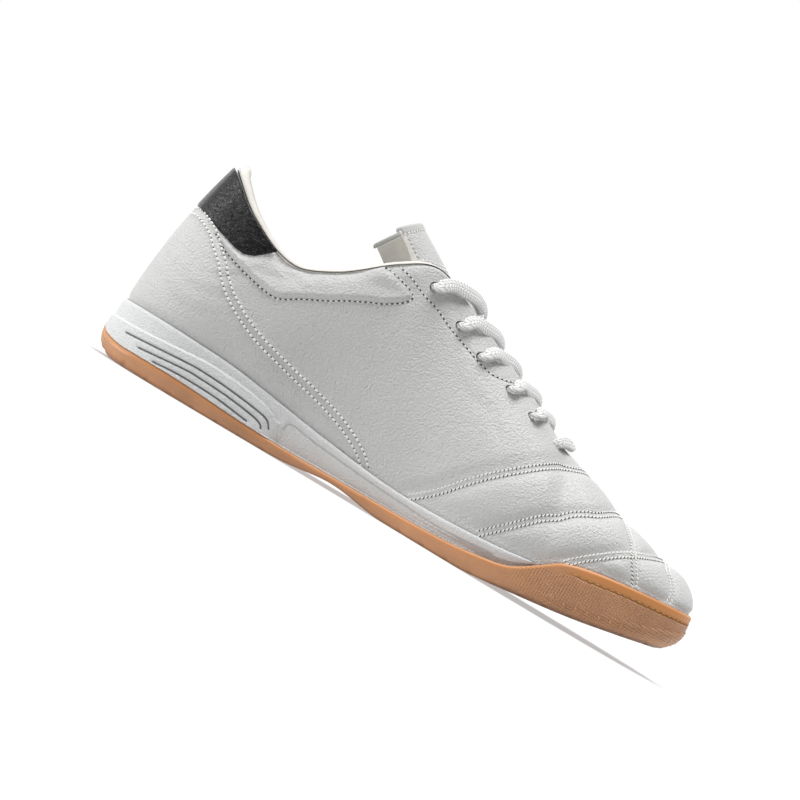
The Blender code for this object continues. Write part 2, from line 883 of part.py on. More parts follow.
def strand_route(number, side):
    """One strand: from over the tongue, across the near flap's edge to its eyelet."""
    way, share = eyelet_spot(number, side)
    lift = 2 * CLEARANCE + LACE_THICKNESS / 2
    up = surface_normal(way, 1) + Vector((0, 0, 1))
    up.normalize()
    far = top_edge(eyelet_spot(number + 1, -side)[0]) + THROAT_UP * lift
    near = top_edge(way)
    crown = tongue_crown((near.x + far.x) / 2) + THROAT_UP * (lift + CROWN_LIFT)
    end = crown.lerp(far, STRAND_REACH)
    halfway = (share + 1) / 2
    route = [
        skin(way, share, lift),
        skin(way, halfway, lift + CLEARANCE),
        near + up * (lift + CLEARANCE),
        crown,
        end,
    ]
    tops = [surface_normal(way, share), surface_normal(way, halfway), up, THROAT_UP, THROAT_UP]
    return route, tops


def make_laces(parts, cutters):
    """Each crossing is two strands joined; the lowest row is one straight bar."""
    for number in range(EYELETS_A_SIDE - 1):
        strands = []
        for side, word in ((-1, "inner"), (1, "outer")):
            route, tops = strand_route(number, side)
            home = parts if side < 0 else cutters
            name = f"lace_crossing_{number + 1}" if side < 0 else f"lace_strand_{number + 1}"
            strands.append(sweep(name, route, tops, "lace_cotton", home))
        joined = strands[0].modifiers.new("joined", "BOOLEAN")
        joined.operation = "UNION"
        joined.object = strands[1]
        strands[1].hide_render = True
        strands[1].display_type = "WIRE"
    lowest = EYELETS_A_SIDE - 1
    lift = CLEARANCE * 2 + LACE_THICKNESS / 2
    route, tops = [], []
    for side in (-1, 1):
        way, share = eyelet_spot(lowest, side)
        spots = [share, (share + 1) / 2, 1]
        if side > 0:
            spots.reverse()
        for spot in spots:
            route.append(skin(way, spot, lift + (0.0008 if spot == 1 else 0)))
            tops.append(surface_normal(way, min(spot, 0.97)))
    sweep("lace_bar", route, tops, "lace_cotton", parts)


def main():
    for thing in list(bpy.data.objects):
        bpy.data.objects.remove(thing)
    parts = bpy.data.collections.new("indoor_soccer_shoe")
    cutters = bpy.data.collections.new("cutters")
    for made in (parts, cutters):
        bpy.context.scene.collection.children.link(made)
    outsole = make_outsole(parts)
    for block in channel_cutters(cutters):
        cut(outsole, block)
    midsole = make_midsole(parts)
    cut(midsole, cup_cutter(cutters))
    for groove in groove_cutters(cutters):
        cut(midsole, groove)
    upper = make_upper(parts)
    for pin in eyelet_cutters(cutters):
        cut(upper, pin)
    make_heel_tab(parts)
    make_lining(parts)
    make_tongue(parts)
    make_insole(parts)
    make_laces(parts, cutters)


main()
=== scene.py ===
"""Looks of an indoor soccer shoe, laid out as a Blender add-on.

Metres, +Z up, +X to the toe, +Y to the outer side of the foot, floor at z = 0.
`way` goes round the shoe: 0 at the heel's back, 1 at the tip of the toe by the
inner side, 2 at the heel again by the outer side. `share` goes up the upper's
wall from the sole (0) to the collar, the throat or the ridge (1).
"""

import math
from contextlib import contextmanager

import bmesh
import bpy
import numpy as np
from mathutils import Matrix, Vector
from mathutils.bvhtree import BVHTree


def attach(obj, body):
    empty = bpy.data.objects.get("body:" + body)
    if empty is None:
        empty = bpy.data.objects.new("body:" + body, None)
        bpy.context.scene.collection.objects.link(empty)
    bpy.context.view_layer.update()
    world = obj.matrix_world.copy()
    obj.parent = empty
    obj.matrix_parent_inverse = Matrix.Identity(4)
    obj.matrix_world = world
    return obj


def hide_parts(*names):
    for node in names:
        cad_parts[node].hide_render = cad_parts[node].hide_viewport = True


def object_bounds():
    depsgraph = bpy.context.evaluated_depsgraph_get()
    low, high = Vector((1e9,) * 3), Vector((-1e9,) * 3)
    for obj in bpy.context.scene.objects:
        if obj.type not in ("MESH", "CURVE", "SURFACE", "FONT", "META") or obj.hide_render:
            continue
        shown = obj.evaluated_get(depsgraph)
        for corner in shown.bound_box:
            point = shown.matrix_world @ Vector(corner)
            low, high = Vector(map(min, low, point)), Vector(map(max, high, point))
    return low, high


bl_info = {
    "name": "Indoor soccer shoe",
    "version": (1, 0, 0),
    "blender": (4, 5, 0),
    "location": "3D View > Sidebar > Shoe",
    "description": "Builds the leather, sole, laces and stitches of an indoor soccer shoe",
    "category": "Add Mesh",
}

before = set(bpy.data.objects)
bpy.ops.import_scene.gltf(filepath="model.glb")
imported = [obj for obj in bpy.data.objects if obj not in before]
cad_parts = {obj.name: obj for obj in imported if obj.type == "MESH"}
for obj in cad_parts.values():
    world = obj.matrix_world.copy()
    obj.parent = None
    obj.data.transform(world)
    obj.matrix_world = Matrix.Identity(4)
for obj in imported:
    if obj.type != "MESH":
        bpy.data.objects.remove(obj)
CAD_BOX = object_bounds()

MM = 0.001
LENGTH = CAD_BOX[1][0] - CAD_BOX[0][0]
BALL_WIDTH = 98 * MM
SOLE_HEIGHT = 26.2 * MM
HEEL_HEIGHT = 98.6 * MM
INSTEP_HEIGHT = 106.4 * MM
RIM_WALL = 2.7 * MM
CLEARANCE = 0.3 * MM
THROAT_WAY = 2 / 3
SPINE_END = 26 * MM
MERGED = 0.02 * MM  # points nearer than this are one
TREAD_PITCH = 11.5  # millimetres from one channel of the tread to the next
ARCH = (0.31, 0.52)  # shares of the length between which the sole has no tread
RAND_START = (0.69, 0.72)  # ways over which the cup's edge becomes the toe's rand

# Sole seen from above: shares of the ball width each side of the heel's middle.
OUTLINE = [
    # way, inner, outer
    (0.0, 0.000, 0.000),
    (0.1, 0.214, 0.214),
    (0.2, 0.330, 0.335),
    (0.3, 0.334, 0.362),
    (0.4, 0.308, 0.396),
    (0.5, 0.360, 0.455),
    (0.6, 0.474, 0.498),
    (0.7, 0.487, 0.446),
    (0.8, 0.410, 0.316),
    (0.9, 0.264, 0.132),
    (1.0, 0.075, -0.075),
]
# Sole from the side: share of the length, then shares of the sole's height.
SOLE = [
    # x, underside, cup floor, foot bed
    (0.00, 0.000, 0.275, 0.570),
    (0.14, 0.000, 0.280, 0.550),
    (0.29, 0.000, 0.195, 0.480),
    (0.34, 0.015, 0.190, 0.445),
    (0.42, 0.110, 0.200, 0.400),
    (0.50, 0.010, 0.210, 0.365),
    (0.53, 0.000, 0.220, 0.355),
    (0.60, 0.000, 0.250, 0.350),
    (0.65, 0.000, 0.265, 0.365),
    (0.75, 0.120, 0.330, 0.430),
    (0.83, 0.235, 0.410, 0.510),
    (0.90, 0.370, 0.520, 0.620),
    (1.00, 0.570, 0.680, 0.760),
]
CUP_EDGE = [
    # way, share of the sole's height
    (0.00, 0.500),
    (0.06, 0.370),
    (0.14, 0.290),
    (0.24, 0.294),
    (0.37, 0.214),
    (0.46, 0.225),
    (0.56, 0.271),
    (0.61, 0.363),
    (0.64, 0.470),
    (0.667, 0.725),
    (0.69, 0.950),
    (0.73, 1.092),
    (0.80, 1.190),
    (0.90, 1.245),
    (1.00, 1.252),
]
RIM_EDGE = [
    # way, share of the sole's height
    (0.00, 1.000),
    (0.16, 1.011),
    (0.24, 0.992),
    (0.31, 0.939),
    (0.42, 0.702),
    (0.51, 0.560),
    (0.61, 0.630),
    (0.667, 0.725),
    (0.74, 0.700),
    (1.00, 0.700),
]
ROUND_EDGE = [
    # way, inset, height, as shares of the sole's height
    (0.00, 0.450, 0.450),
    (0.10, 0.330, 0.330),
    (0.20, 0.170, 0.200),
    (0.35, 0.110, 0.140),
    (0.60, 0.110, 0.160),
    (0.80, 0.200, 0.270),
    (0.90, 0.360, 0.400),
    (1.00, 0.480, 0.500),
]
TOP_EDGE = [
    # way, share of length, share of ball width, height
    (0.00, 0.050, 0.000, 1.000 * HEEL_HEIGHT),
    (0.10, 0.061, 0.112, 0.976 * HEEL_HEIGHT),
    (0.20, 0.119, 0.230, 0.852 * HEEL_HEIGHT),
    (0.30, 0.204, 0.281, 0.765 * HEEL_HEIGHT),
    (0.35, 0.268, 0.286, 0.841 * HEEL_HEIGHT),
    (0.40, 0.337, 0.262, 0.924 * INSTEP_HEIGHT),
    (0.45, 0.394, 0.200, 1.000 * INSTEP_HEIGHT),
    (0.50, 0.462, 0.122, 0.942 * INSTEP_HEIGHT),
    (0.55, 0.550, 0.104, 0.836 * INSTEP_HEIGHT),
    (0.60, 0.632, 0.090, 0.733 * INSTEP_HEIGHT),
    (0.64, 0.678, 0.062, 0.662 * INSTEP_HEIGHT),
    (THROAT_WAY, 0.702, 0.000, 0.628 * INSTEP_HEIGHT),
    (0.70, 0.737, 0.000, 0.602 * INSTEP_HEIGHT),
    (0.80, 0.811, 0.000, 0.525 * INSTEP_HEIGHT),
    (0.90, 0.874, 0.000, 0.472 * INSTEP_HEIGHT),
    (1.00, 0.919, 0.000, 0.445 * INSTEP_HEIGHT),
]
RIB_BEND = [
    # way, out and up from the sole, out and down from the top, as shares of the instep
    (0.00, 0.000, 0.230, 0.058, 0.205),
    (0.10, 0.006, 0.220, 0.045, 0.195),
    (0.20, 0.018, 0.190, 0.030, 0.180),
    (0.30, 0.018, 0.170, 0.030, 0.170),
    (0.40, 0.022, 0.260, 0.052, 0.235),
    (0.50, 0.036, 0.310, 0.135, 0.150),
    (0.60, 0.038, 0.270, 0.175, 0.080),
    (THROAT_WAY, 0.030, 0.210, 0.188, 0.020),
    (0.80, 0.012, 0.120, 0.165, 0.030),
    (0.90, 0.004, 0.080, 0.130, 0.028),
    (1.00, 0.000, 0.060, 0.115, 0.024),
]
TONGUE = [
    # share along, share of length, of instep height, half width and droop of ball width
    (0.000, 0.742, 0.566, 0.130, 0.030),
    (0.125, 0.702, 0.600, 0.180, 0.085),
    (0.250, 0.660, 0.640, 0.190, 0.120),
    (0.375, 0.600, 0.722, 0.195, 0.150),
    (0.500, 0.540, 0.806, 0.195, 0.170),
    (0.625, 0.480, 0.892, 0.195, 0.175),
    (0.750, 0.430, 0.970, 0.195, 0.175),
    (0.875, 0.385, 1.045, 0.190, 0.160),
    (1.000, 0.336, 1.122, 0.190, 0.150),
]
TONGUE_ARCH = math.radians(75)
TONGUE_WALL = 4.2 * MM
TAB_REACH = 48.8 * MM
LINING_REACH = 127 * MM
LINING_DEPTH = 34 * MM

# Lines on the side of the shoe, in millimetres from the heel's back and the floor.
EYELETS = [(115.2, 98.4), (132.9, 89.8), (147.7, 83.0), (165.3, 77.3), (179.5, 72.2), (194.6, 67.3)]
COUNTER_SEAM = [
    (8.5, 73.3), (17.3, 71.7), (21.6, 69.6), (26.0, 64.9), (30.5, 61.1), (34.9, 56.3),
    (39.3, 52.1), (43.7, 49.1), (52.5, 44.0), (61.3, 40.7), (70.0, 38.3), (83.0, 35.0),
    (100.6, 30.6), (109.3, 28.1), (118.0, 24.3), (124.7, 20.1), (128.2, 17.1),
]
COLLAR_SEAM = [
    (21.6, 70.0), (30.4, 65.4), (39.0, 62.5), (48.0, 60.5), (56.6, 59.3), (61.0, 60.3),
    (69.5, 65.2), (82.4, 72.0), (91.0, 76.5), (99.7, 81.0), (106.2, 85.4), (109.0, 88.5),
    (108.2, 90.7), (101.7, 93.2), (93.8, 94.8),
]
EYESTAY_SEAM = [
    (98.5, 98.3), (103.8, 96.7), (112.5, 93.4), (121.3, 90.5), (130.0, 86.7), (138.8, 83.4),
    (145.4, 80.9), (151.9, 79.2), (156.3, 78.9), (162.8, 79.9), (166.5, 81.3),
]
# Quilting lines, each from the sole to the ridge, and where each meets the ridge.
QUILTING = [
    ([(151.7, 14.9), (161.6, 24.2), (170.0, 34.3), (178.6, 42.8), (191.5, 53.9), (200.0, 59.7),
        (207.5, 62.4)], 213.0),
    ([(184.7, 16.8), (192.0, 24.3), (199.3, 31.4), (206.0, 37.6), (213.4, 43.4), (220.7, 48.7),
        (227.6, 52.3)], 236.0),
    ([(254.0, 31.9), (251.8, 36.6), (249.0, 41.0), (245.0, 47.0), (240.5, 51.8)], 236.0),
    ([(223.3, 25.3), (228.0, 29.7), (235.3, 36.0), (242.6, 41.3), (248.2, 44.3),
        (254.0, 46.6)], 260.5),
    ([(271.0, 33.5), (270.2, 38.6), (267.5, 42.6), (264.0, 45.8)], 260.5),
]
TAB_EDGE = [
    # x, height, in millimetres
    (5.7, 76.8), (17.2, 73.4), (27.0, 70.5), (32.5, 68.9), (36.9, 68.5), (41.2, 69.9),
    (45.5, 73.5), (48.6, 76.4),
]
GROOVES = [
    [(10.9, 13.7), (18.3, 14.3), (40.0, 16.0), (48.7, 16.2), (61.7, 15.5), (76.0, 13.9),
        (82.2, 12.4), (84.9, 9.4)],
    [(18.8, 10.9), (40.0, 13.0), (48.7, 13.1), (61.8, 12.5), (74.8, 11.0), (80.0, 9.7),
        (81.8, 8.0)],
    [(27.5, 8.9), (40.0, 9.8), (57.5, 9.5), (74.9, 7.6)],
]
STEP_LINE = [(0.8, 17.5), (18.0, 18.2), (40.0, 19.9), (48.6, 20.5), (61.6, 19.9), (74.7, 18.3),
    (81.3, 16.5), (86.0, 13.8)]
WAIST_LINE = [(90.5, 12.6), (90.9, 15.2), (94.3, 16.0), (105.0, 14.5), (127.0, 12.7),
    (149.0, 11.4), (170.5, 10.9), (194.4, 12.9)]
RAND_GROOVE = [(0.686, 20.5), (0.70, 22.7), (0.73, 24.1), (0.76, 25.6), (0.80, 27.0),
    (0.85, 28.0), (0.90, 28.7), (1.0, 29.2)]


class ShoeSizes(bpy.types.PropertyGroup):
    """Sizes of the shoe's finish that a user may want to change."""

    upper_wall: bpy.props.FloatProperty(
        name="Upper wall", description="Thickness of the leather with its backing",
        default=2.0 * MM, min=0.5 * MM, unit="LENGTH")
    quilt_depth: bpy.props.FloatProperty(
        name="Quilt depth", description="Depth of the sewn troughs over the toe",
        default=1.5 * MM, unit="LENGTH")
    overlay_step: bpy.props.FloatProperty(
        name="Overlay step", description="How far a sewn overlay stands above its neighbour",
        default=0.75 * MM, unit="LENGTH")
    stitch_pitch: bpy.props.FloatProperty(
        name="Stitch pitch", description="Distance from one stitch to the next",
        default=2.3 * MM, unit="LENGTH")
    quilt_pitch: bpy.props.FloatProperty(
        name="Quilt pitch", description="Distance between the quilting's slanted stitches",
        default=1.8 * MM, unit="LENGTH")
    thread: bpy.props.FloatProperty(
        name="Thread", description="Thickness of the sewing thread",
        default=0.55 * MM, unit="LENGTH")
    lace_width: bpy.props.FloatProperty(
        name="Lace width", description="Width of the flat lace",
        default=7.0 * MM, unit="LENGTH")
    lace_thickness: bpy.props.FloatProperty(
        name="Lace thickness", description="Thickness of the flat lace",
        default=3.4 * MM, unit="LENGTH")
    eyelet: bpy.props.FloatProperty(
        name="Eyelet", description="Diameter of the punched eyelets",
        default=5.0 * MM, unit="LENGTH")
    lining_roll: bpy.props.FloatProperty(
        name="Lining roll", description="Thickness of the padded lining at the collar",
        default=4.6 * MM, unit="LENGTH")


def hex_default(text):
    """A colour property's default, linear, from sRGB hex."""
    return tuple(linear_channel(int(text[i : i + 2], 16) / 255) for i in (0, 2, 4))


def linear_channel(value):
    return value / 12.92 if value <= 0.04045 else ((value + 0.055) / 1.055) ** 2.4


def colour(label, what, text):
    return bpy.props.FloatVectorProperty(
        name=label, description=what, subtype="COLOR", size=3, min=0, max=1,
        default=hex_default(text))


class ShoeColours(bpy.types.PropertyGroup):
    """Colours of the shoe's materials."""

    leather: colour("Leather", "White coated leather of the upper", "C5C5C4")
    tab: colour("Heel tab", "Black crinkled leather", "070708")
    gum: colour("Gum", "Caramel rubber of the cup sole", "C08B64")
    gum_lip: colour("Gum lip", "Lighter, smoother rubber along the cup's edge", "CF8C52")
    midsole: colour("Midsole", "Pale grey moulded foam", "DADBDB")
    lining: colour("Lining", "Beige textile lining", "DDDAD3")
    lace: colour("Lace", "White braided lace", "EAEAE9")
    thread: colour("Thread", "Off-white sewing thread", "E2E2DF")
    binding: colour("Binding", "Grey woven tape on the tongue's end", "BDBEBC")
    rand_thread: colour("Rand thread", "Thread in the cup's groove", "C98A35")
    # Painted shade: the dark of the needle holes, of the discs under the eyelets and of the strip
    # under the collar's roll.
    hole: colour("Needle hole", "Dark of a needle hole", "3A3936")


def smooth(rows, at, column=1):
    """A table's column on a smooth curve through its rows, for one place or many."""
    places = np.array([row[0] for row in rows])
    values = np.array([row[column] for row in rows])
    at = np.clip(np.asarray(at, float), places[0], places[-1])
    i = np.clip(np.searchsorted(places, at, side="right") - 1, 0, len(rows) - 2)
    slopes = np.empty_like(values)
    slopes[1:-1] = (values[2:] - values[:-2]) / (places[2:] - places[:-2])
    slopes[0] = (values[1] - values[0]) / (places[1] - places[0])
    slopes[-1] = (values[-1] - values[-2]) / (places[-1] - places[-2])
    width = places[i + 1] - places[i]
    t = (at - places[i]) / width
    curve = (
        (2 * t**3 - 3 * t**2 + 1) * values[i]
        + (t**3 - 2 * t**2 + t) * width * slopes[i]
        + (3 * t**2 - 2 * t**3) * values[i + 1]
        + (t**3 - t**2) * width * slopes[i + 1]
    )
    return np.where(values[i] == values[i + 1], values[i], curve)


def ease(value, low, high):
    """0 below low, 1 above high, and a smooth rise between."""
    t = np.clip((value - low) / (high - low), 0, 1)
    return t * t * (3 - 2 * t)


def unit(vectors):
    return vectors / np.maximum(np.linalg.norm(vectors, axis=-1, keepdims=True), 1e-12)


def point(x, y, z):
    return np.stack(np.broadcast_arrays(x, y, z), axis=-1).astype(float)


def folded(way):
    """A way of 0 to 2 as the place from the heel, and the side (-1 inner, 1 outer)."""
    way = np.asarray(way, float) % 2
    return np.where(way <= 1, way, 2 - way), np.where(way <= 1, -1.0, 1.0)


def outline(way):
    place, side = folded(way)
    x = LENGTH * (1 - np.cos(math.pi * place)) / 2
    y = np.where(side < 0, smooth(OUTLINE, place, 1), smooth(OUTLINE, place, 2)) * side
    return point(x, y * BALL_WIDTH, 0)


def outward(way):
    step = 0.01
    run = outline(np.asarray(way) + step) - outline(np.asarray(way) - step)
    return unit(point(run[..., 1], -run[..., 0], 0))


def spine(way):
    """The line down the middle of the sole at the same place."""
    place, _ = folded(way)
    half = LENGTH / 2
    x = half - (half - SPINE_END) * np.cos(math.pi * place)
    y = (outline(place)[..., 1] + outline(2 - place)[..., 1]) / 2
    return point(x, y, 0)


def sole_at(x, column):
    return smooth(SOLE, x / LENGTH, column) * SOLE_HEIGHT


def off_channel(x):
    """Millimetres from the middle of the nearest channel across the tread."""
    return np.abs((x / (TREAD_PITCH * MM)) % 1 - 0.5) * TREAD_PITCH


def treaded(x):
    return (x < ARCH[0] * LENGTH) | (x > ARCH[1] * LENGTH)


def edge_at(rows, way, column=1):
    return smooth(rows, folded(way)[0], column) * SOLE_HEIGHT


def ring(way, inset, height):
    """Points round the sole, a distance in from its outline, at a height."""
    inset = np.broadcast_to(inset, np.shape(way))
    spot = outline(way) - outward(way) * inset[..., None]
    return point(spot[..., 0], spot[..., 1], height)


def side_lean(height):
    return 0.04 * np.maximum(height - SOLE_HEIGHT / 2, 0)


def ridge_across(x):
    return -0.05 * BALL_WIDTH * np.clip((x / LENGTH - 0.1) / 0.6, 0, 1)


def top_edge(way):
    place, side = folded(way)
    x = smooth(TOP_EDGE, place, 1) * LENGTH
    half = np.maximum(smooth(TOP_EDGE, place, 2), 0) * BALL_WIDTH
    half = np.where(place >= THROAT_WAY - 1e-6, 0, half)
    return point(x, side * half + ridge_across(x), smooth(TOP_EDGE, place, 3))


def upper_foot(way):
    return np.maximum(edge_at(RIM_EDGE, way), edge_at(CUP_EDGE, way))


def rib(way, share):
    """Points of the upper's plain outside."""
    way, share = np.broadcast_arrays(np.asarray(way, float), np.asarray(share, float))
    place, _ = folded(way)
    out_low, up, out_high, down = (
        (smooth(RIB_BEND, place, c) * INSTEP_HEIGHT)[..., None] for c in range(1, 5)
    )
    down = down * (1 - 0.7 * ease(place, THROAT_WAY - 0.10, THROAT_WAY + 0.09))[..., None]
    start = ring(way, RIM_WALL + CLEARANCE, upper_foot(way))
    end = top_edge(way)
    out = outward(way)
    rise = np.array([0.0, 0.0, 1.0])
    first = start + out * out_low + rise * up
    last = end + out * out_high - rise * down
    t = share[..., None]
    return (
        start * (1 - t) ** 3
        + first * 3 * (1 - t) ** 2 * t
        + last * 3 * (1 - t) * t**2
        + end * t**3
    )


def normal_at(way, share):
    """Outward directions of the upper's plain outside, alike on both sides of the ridge."""
    way, share = np.broadcast_arrays(np.asarray(way, float), np.asarray(share, float))
    place, _ = folded(way)
    blend = ease(share, 0.82, 1.0) * ease(place, THROAT_WAY - 0.01, THROAT_WAY)
    own = plain_normal(way, share)
    return unit(own + plain_normal(2 - way, share) * blend[..., None])


def plain_normal(way, share):
    share = np.minimum(share, 0.995)
    step = 0.004
    along = rib(way + step, share) - rib(way - step, share)
    up = rib(way, np.minimum(share + step, 1)) - rib(way, np.maximum(share - step, 0))
    return unit(np.cross(along, up))


class SideChart:
    """Finds where a spot of the side view lies on the upper's inner side."""

    def __init__(self):
        self.way, self.share = np.meshgrid(
            np.linspace(0.0, 1.0, 901), np.linspace(0.0, 1.0, 181), indexing="ij")
        spots = rib(self.way, self.share)
        self.x = spots[..., 0] / MM
        self.z = spots[..., 2] / MM

    def find(self, x, z):
        """The way and share of a spot given in millimetres."""
        gap = (self.x - x) ** 2 + (self.z - z) ** 2
        i = np.unravel_index(np.argmin(gap), gap.shape)
        return self.way[i], self.share[i]

    def ridge(self, x):
        """The way whose rib meets the ridge this far along, at share 1."""
        return self.way[np.argmin(np.abs(self.x[:, -1] - x)), 0], 1.0


CHART = SideChart()


def chart_line(spots, ridge=None, side=-1, step=0.4 * MM):
    """A line drawn on the side view, laid on the upper: way, share and an even spacing."""
    found = [CHART.find(x, z) for x, z in spots]
    if ridge is not None:
        found.append(CHART.ridge(ridge))
    run = np.array(found)
    if side > 0:
        run[:, 0] = 2 - run[:, 0]
    return even_line(run, step)


def even_line(run, step):
    """Smooths charted spots into a line with even spacing on the surface."""
    knots = np.arange(len(run), dtype=float)
    fine = np.linspace(0, len(run) - 1, 40 * len(run))
    way = smooth(list(zip(knots, run[:, 0])), fine)
    share = np.clip(smooth(list(zip(knots, run[:, 1])), fine), 0, 1)
    spots = rib(way, share)
    gaps = np.linalg.norm(np.diff(spots, axis=0), axis=1)
    far = np.concatenate([[0], np.cumsum(gaps)])
    at = np.linspace(0, far[-1], max(int(far[-1] / step), 2) + 1)
    return np.interp(at, far, way), np.interp(at, far, share)


def line_frame(way, share):
    """Points, outward directions, run directions and left-hand directions of a line."""
    spots = rib(way, share)
    out = normal_at(way, share)
    run = unit(np.gradient(spots, axis=0))
    return spots, out, run, unit(np.cross(out, run))


def signed_distance(spots, line):
    """Distance of each spot to a line, positive on its left-hand side."""
    on, _, _, left = line
    result = np.empty(len(spots))
    for start in range(0, len(spots), 4000):
        part = spots[start : start + 4000]
        gap = ((part[:, None, :] - on[None, :, :]) ** 2).sum(axis=2)
        near = np.argmin(gap, axis=1)
        reach = part - on[near]
        sign = np.sign((reach * left[near]).sum(axis=1))
        result[start : start + 4000] = np.sqrt(gap[np.arange(len(part)), near]) * sign
    return result


def both_sides(spots, ridge=None, step=1.0 * MM):
    return [chart_line(spots, ridge, side, step) for side in (-1, 1)]


class Relief:
    """Height of the leather over its plain form, from its quilting and overlays."""

    def __init__(self, sizes):
        self.sizes = sizes
        self.quilts = [
            [line_frame(*line) for line in both_sides(spots, ridge)] for spots, ridge in QUILTING
        ]
        self.collar = [line_frame(*line) for line in both_sides(COLLAR_SEAM)]
        self.eyestay = [line_frame(*line) for line in both_sides(EYESTAY_SEAM)]

    def __call__(self, way, share):
        """Heights, the same from both sides where they meet at the ridge."""
        way = np.asarray(way, float).ravel()
        share = np.asarray(share, float).ravel()
        height = self.plain(way, share)
        place, _ = folded(way)
        blend = 0.5 * ease(share, 0.8, 1.0) * ease(place, THROAT_WAY - 0.01, THROAT_WAY)
        near = np.nonzero(blend > 0)[0]
        if len(near):
            twin = self.plain(2 - way[near], share[near])
            height[near] += (twin - height[near]) * blend[near]
        return height

    def plain(self, way, share):
        spots = rib(way, share)
        _, side = folded(way)
        height = np.zeros(len(spots))
        inner = side < 0
        for which, chosen in ((0, inner), (1, ~inner)):
            index = np.nonzero(chosen)[0]
            if len(index):
                height[index] = self.one_side(spots[index], share[index], which)
        return height

    def one_side(self, spots, share, which):
        x = spots[:, 0] / MM
        z = spots[:, 2] / MM
        turn = 1 if which == 0 else -1
        height = np.zeros(len(spots))
        fore = x > 135
        if fore.any():
            height[fore] += self.quilting(spots[fore], share[fore], which)
        aft = x < 175
        if aft.any():
            height[aft] += self.overlays(spots[aft], x[aft], z[aft], which, turn)
        return height

    def quilting(self, spots, share, which):
        """Sewn troughs with padded fields between them, from the first line forwards."""
        depth = self.sizes.quilt_depth
        first = signed_distance(spots, self.quilts[0][which])
        first = first if which == 1 else -first
        swell = np.ones(len(spots))
        for lines in self.quilts:
            gap = np.abs(signed_distance(spots, lines[which]))
            gap = np.maximum(gap - 2.1 * MM, 0)
            swell = swell * (1 - np.exp(-gap / (2.6 * MM)))
        foot = 0.25 + 0.75 * ease(share, 0.0, 0.16)
        back = ease(-first, 2.1 * MM, 8 * MM)
        calm = 1 - 0.45 * ease(share, 0.75, 1.0)
        high = np.where(first > 0, swell * foot, back * 0.55) - 0.55
        return high * calm * depth

    def overlays(self, spots, x, z, which, turn):
        """The counter, the padded collar panel and the eyestay."""
        step = self.sizes.overlay_step
        seam = np.interp(x, [s[0] for s in COUNTER_SEAM], [s[1] for s in COUNTER_SEAM])
        below = (seam - z) * 0.8
        counter = ease(below, -2.5, -1.9) * ease(128.5 - x, 0, 4)
        collar_gap = signed_distance(spots, self.collar[which]) * turn / MM
        stay_gap = signed_distance(spots, self.eyestay[which]) * turn / MM
        inside = within(x, z, COLLAR_SEAM + [(92, 130), (15, 130)])
        tab_low = np.interp(x, [s[0] for s in TAB_EDGE], [s[1] for s in TAB_EDGE])
        bare = np.maximum(ease(tab_low - z, -0.4, 3.0), ease(x, 47, 58))
        # The pad swells just above its seam and slopes back in towards the topline.
        far = np.abs(collar_gap)
        pad = ease(far, 0.3, 2.6) * (1.5 - 2.1 * np.clip(far / 16, 0, 1))
        pad = np.where(inside, pad, 0.0) * bare
        seam_dip = np.exp(-((far / 1.1) ** 2)) * ease(x, 20, 24)
        stay_dip = np.exp(-((np.abs(stay_gap) / 0.9) ** 2)) * ease(x, 96, 99) * ease(168 - x, 0, 3)
        return (counter * 0.9 + pad * 1.9 - seam_dip * 0.7 - stay_dip * 0.5) * step


def within(x, z, corners):
    """Which spots of the side view lie inside a closed outline."""
    found = np.zeros(len(x), bool)
    for (ax, az), (bx, bz) in zip(corners, corners[1:] + corners[:1]):
        if az != bz:
            found ^= ((az > z) != (bz > z)) & (x < (bx - ax) * (z - az) / (bz - az) + ax)
    return found


def creases(spots):
    """Soft wrinkles where the quarter bends under the collar and over the counter."""
    lines = [
        # x, height, length along x, fall, width, depth in millimetres
        (52, 66, 13, 0.30, 2.2, 0.22),
        (60, 70, 12, -0.35, 2.0, 0.20),
        (70, 74, 14, -0.60, 2.2, 0.20),
        (38, 58, 12, 0.75, 2.0, 0.16),
        (30, 45, 16, 0.15, 2.6, 0.14),
        (24, 36, 14, -0.10, 2.6, 0.12),
        (152, 66, 16, -0.30, 3.0, 0.16),
        (168, 60, 16, -0.45, 3.0, 0.16),
        (176, 52, 12, -0.80, 2.6, 0.14),
    ]
    x = spots[..., 0] / MM
    z = spots[..., 2] / MM
    total = np.zeros(x.shape)
    for cx, cz, reach, fall, width, depth in lines:
        off = (z - cz) - fall * (x - cx) - 0.02 * (x - cx) ** 2
        total -= 1.3 * depth * np.exp(-((off / width) ** 2) - ((x - cx) / reach) ** 2)
        total += 0.8 * depth * np.exp(-(((off - 2 * width) / width) ** 2) - ((x - cx) / reach) ** 2)
    return total * MM


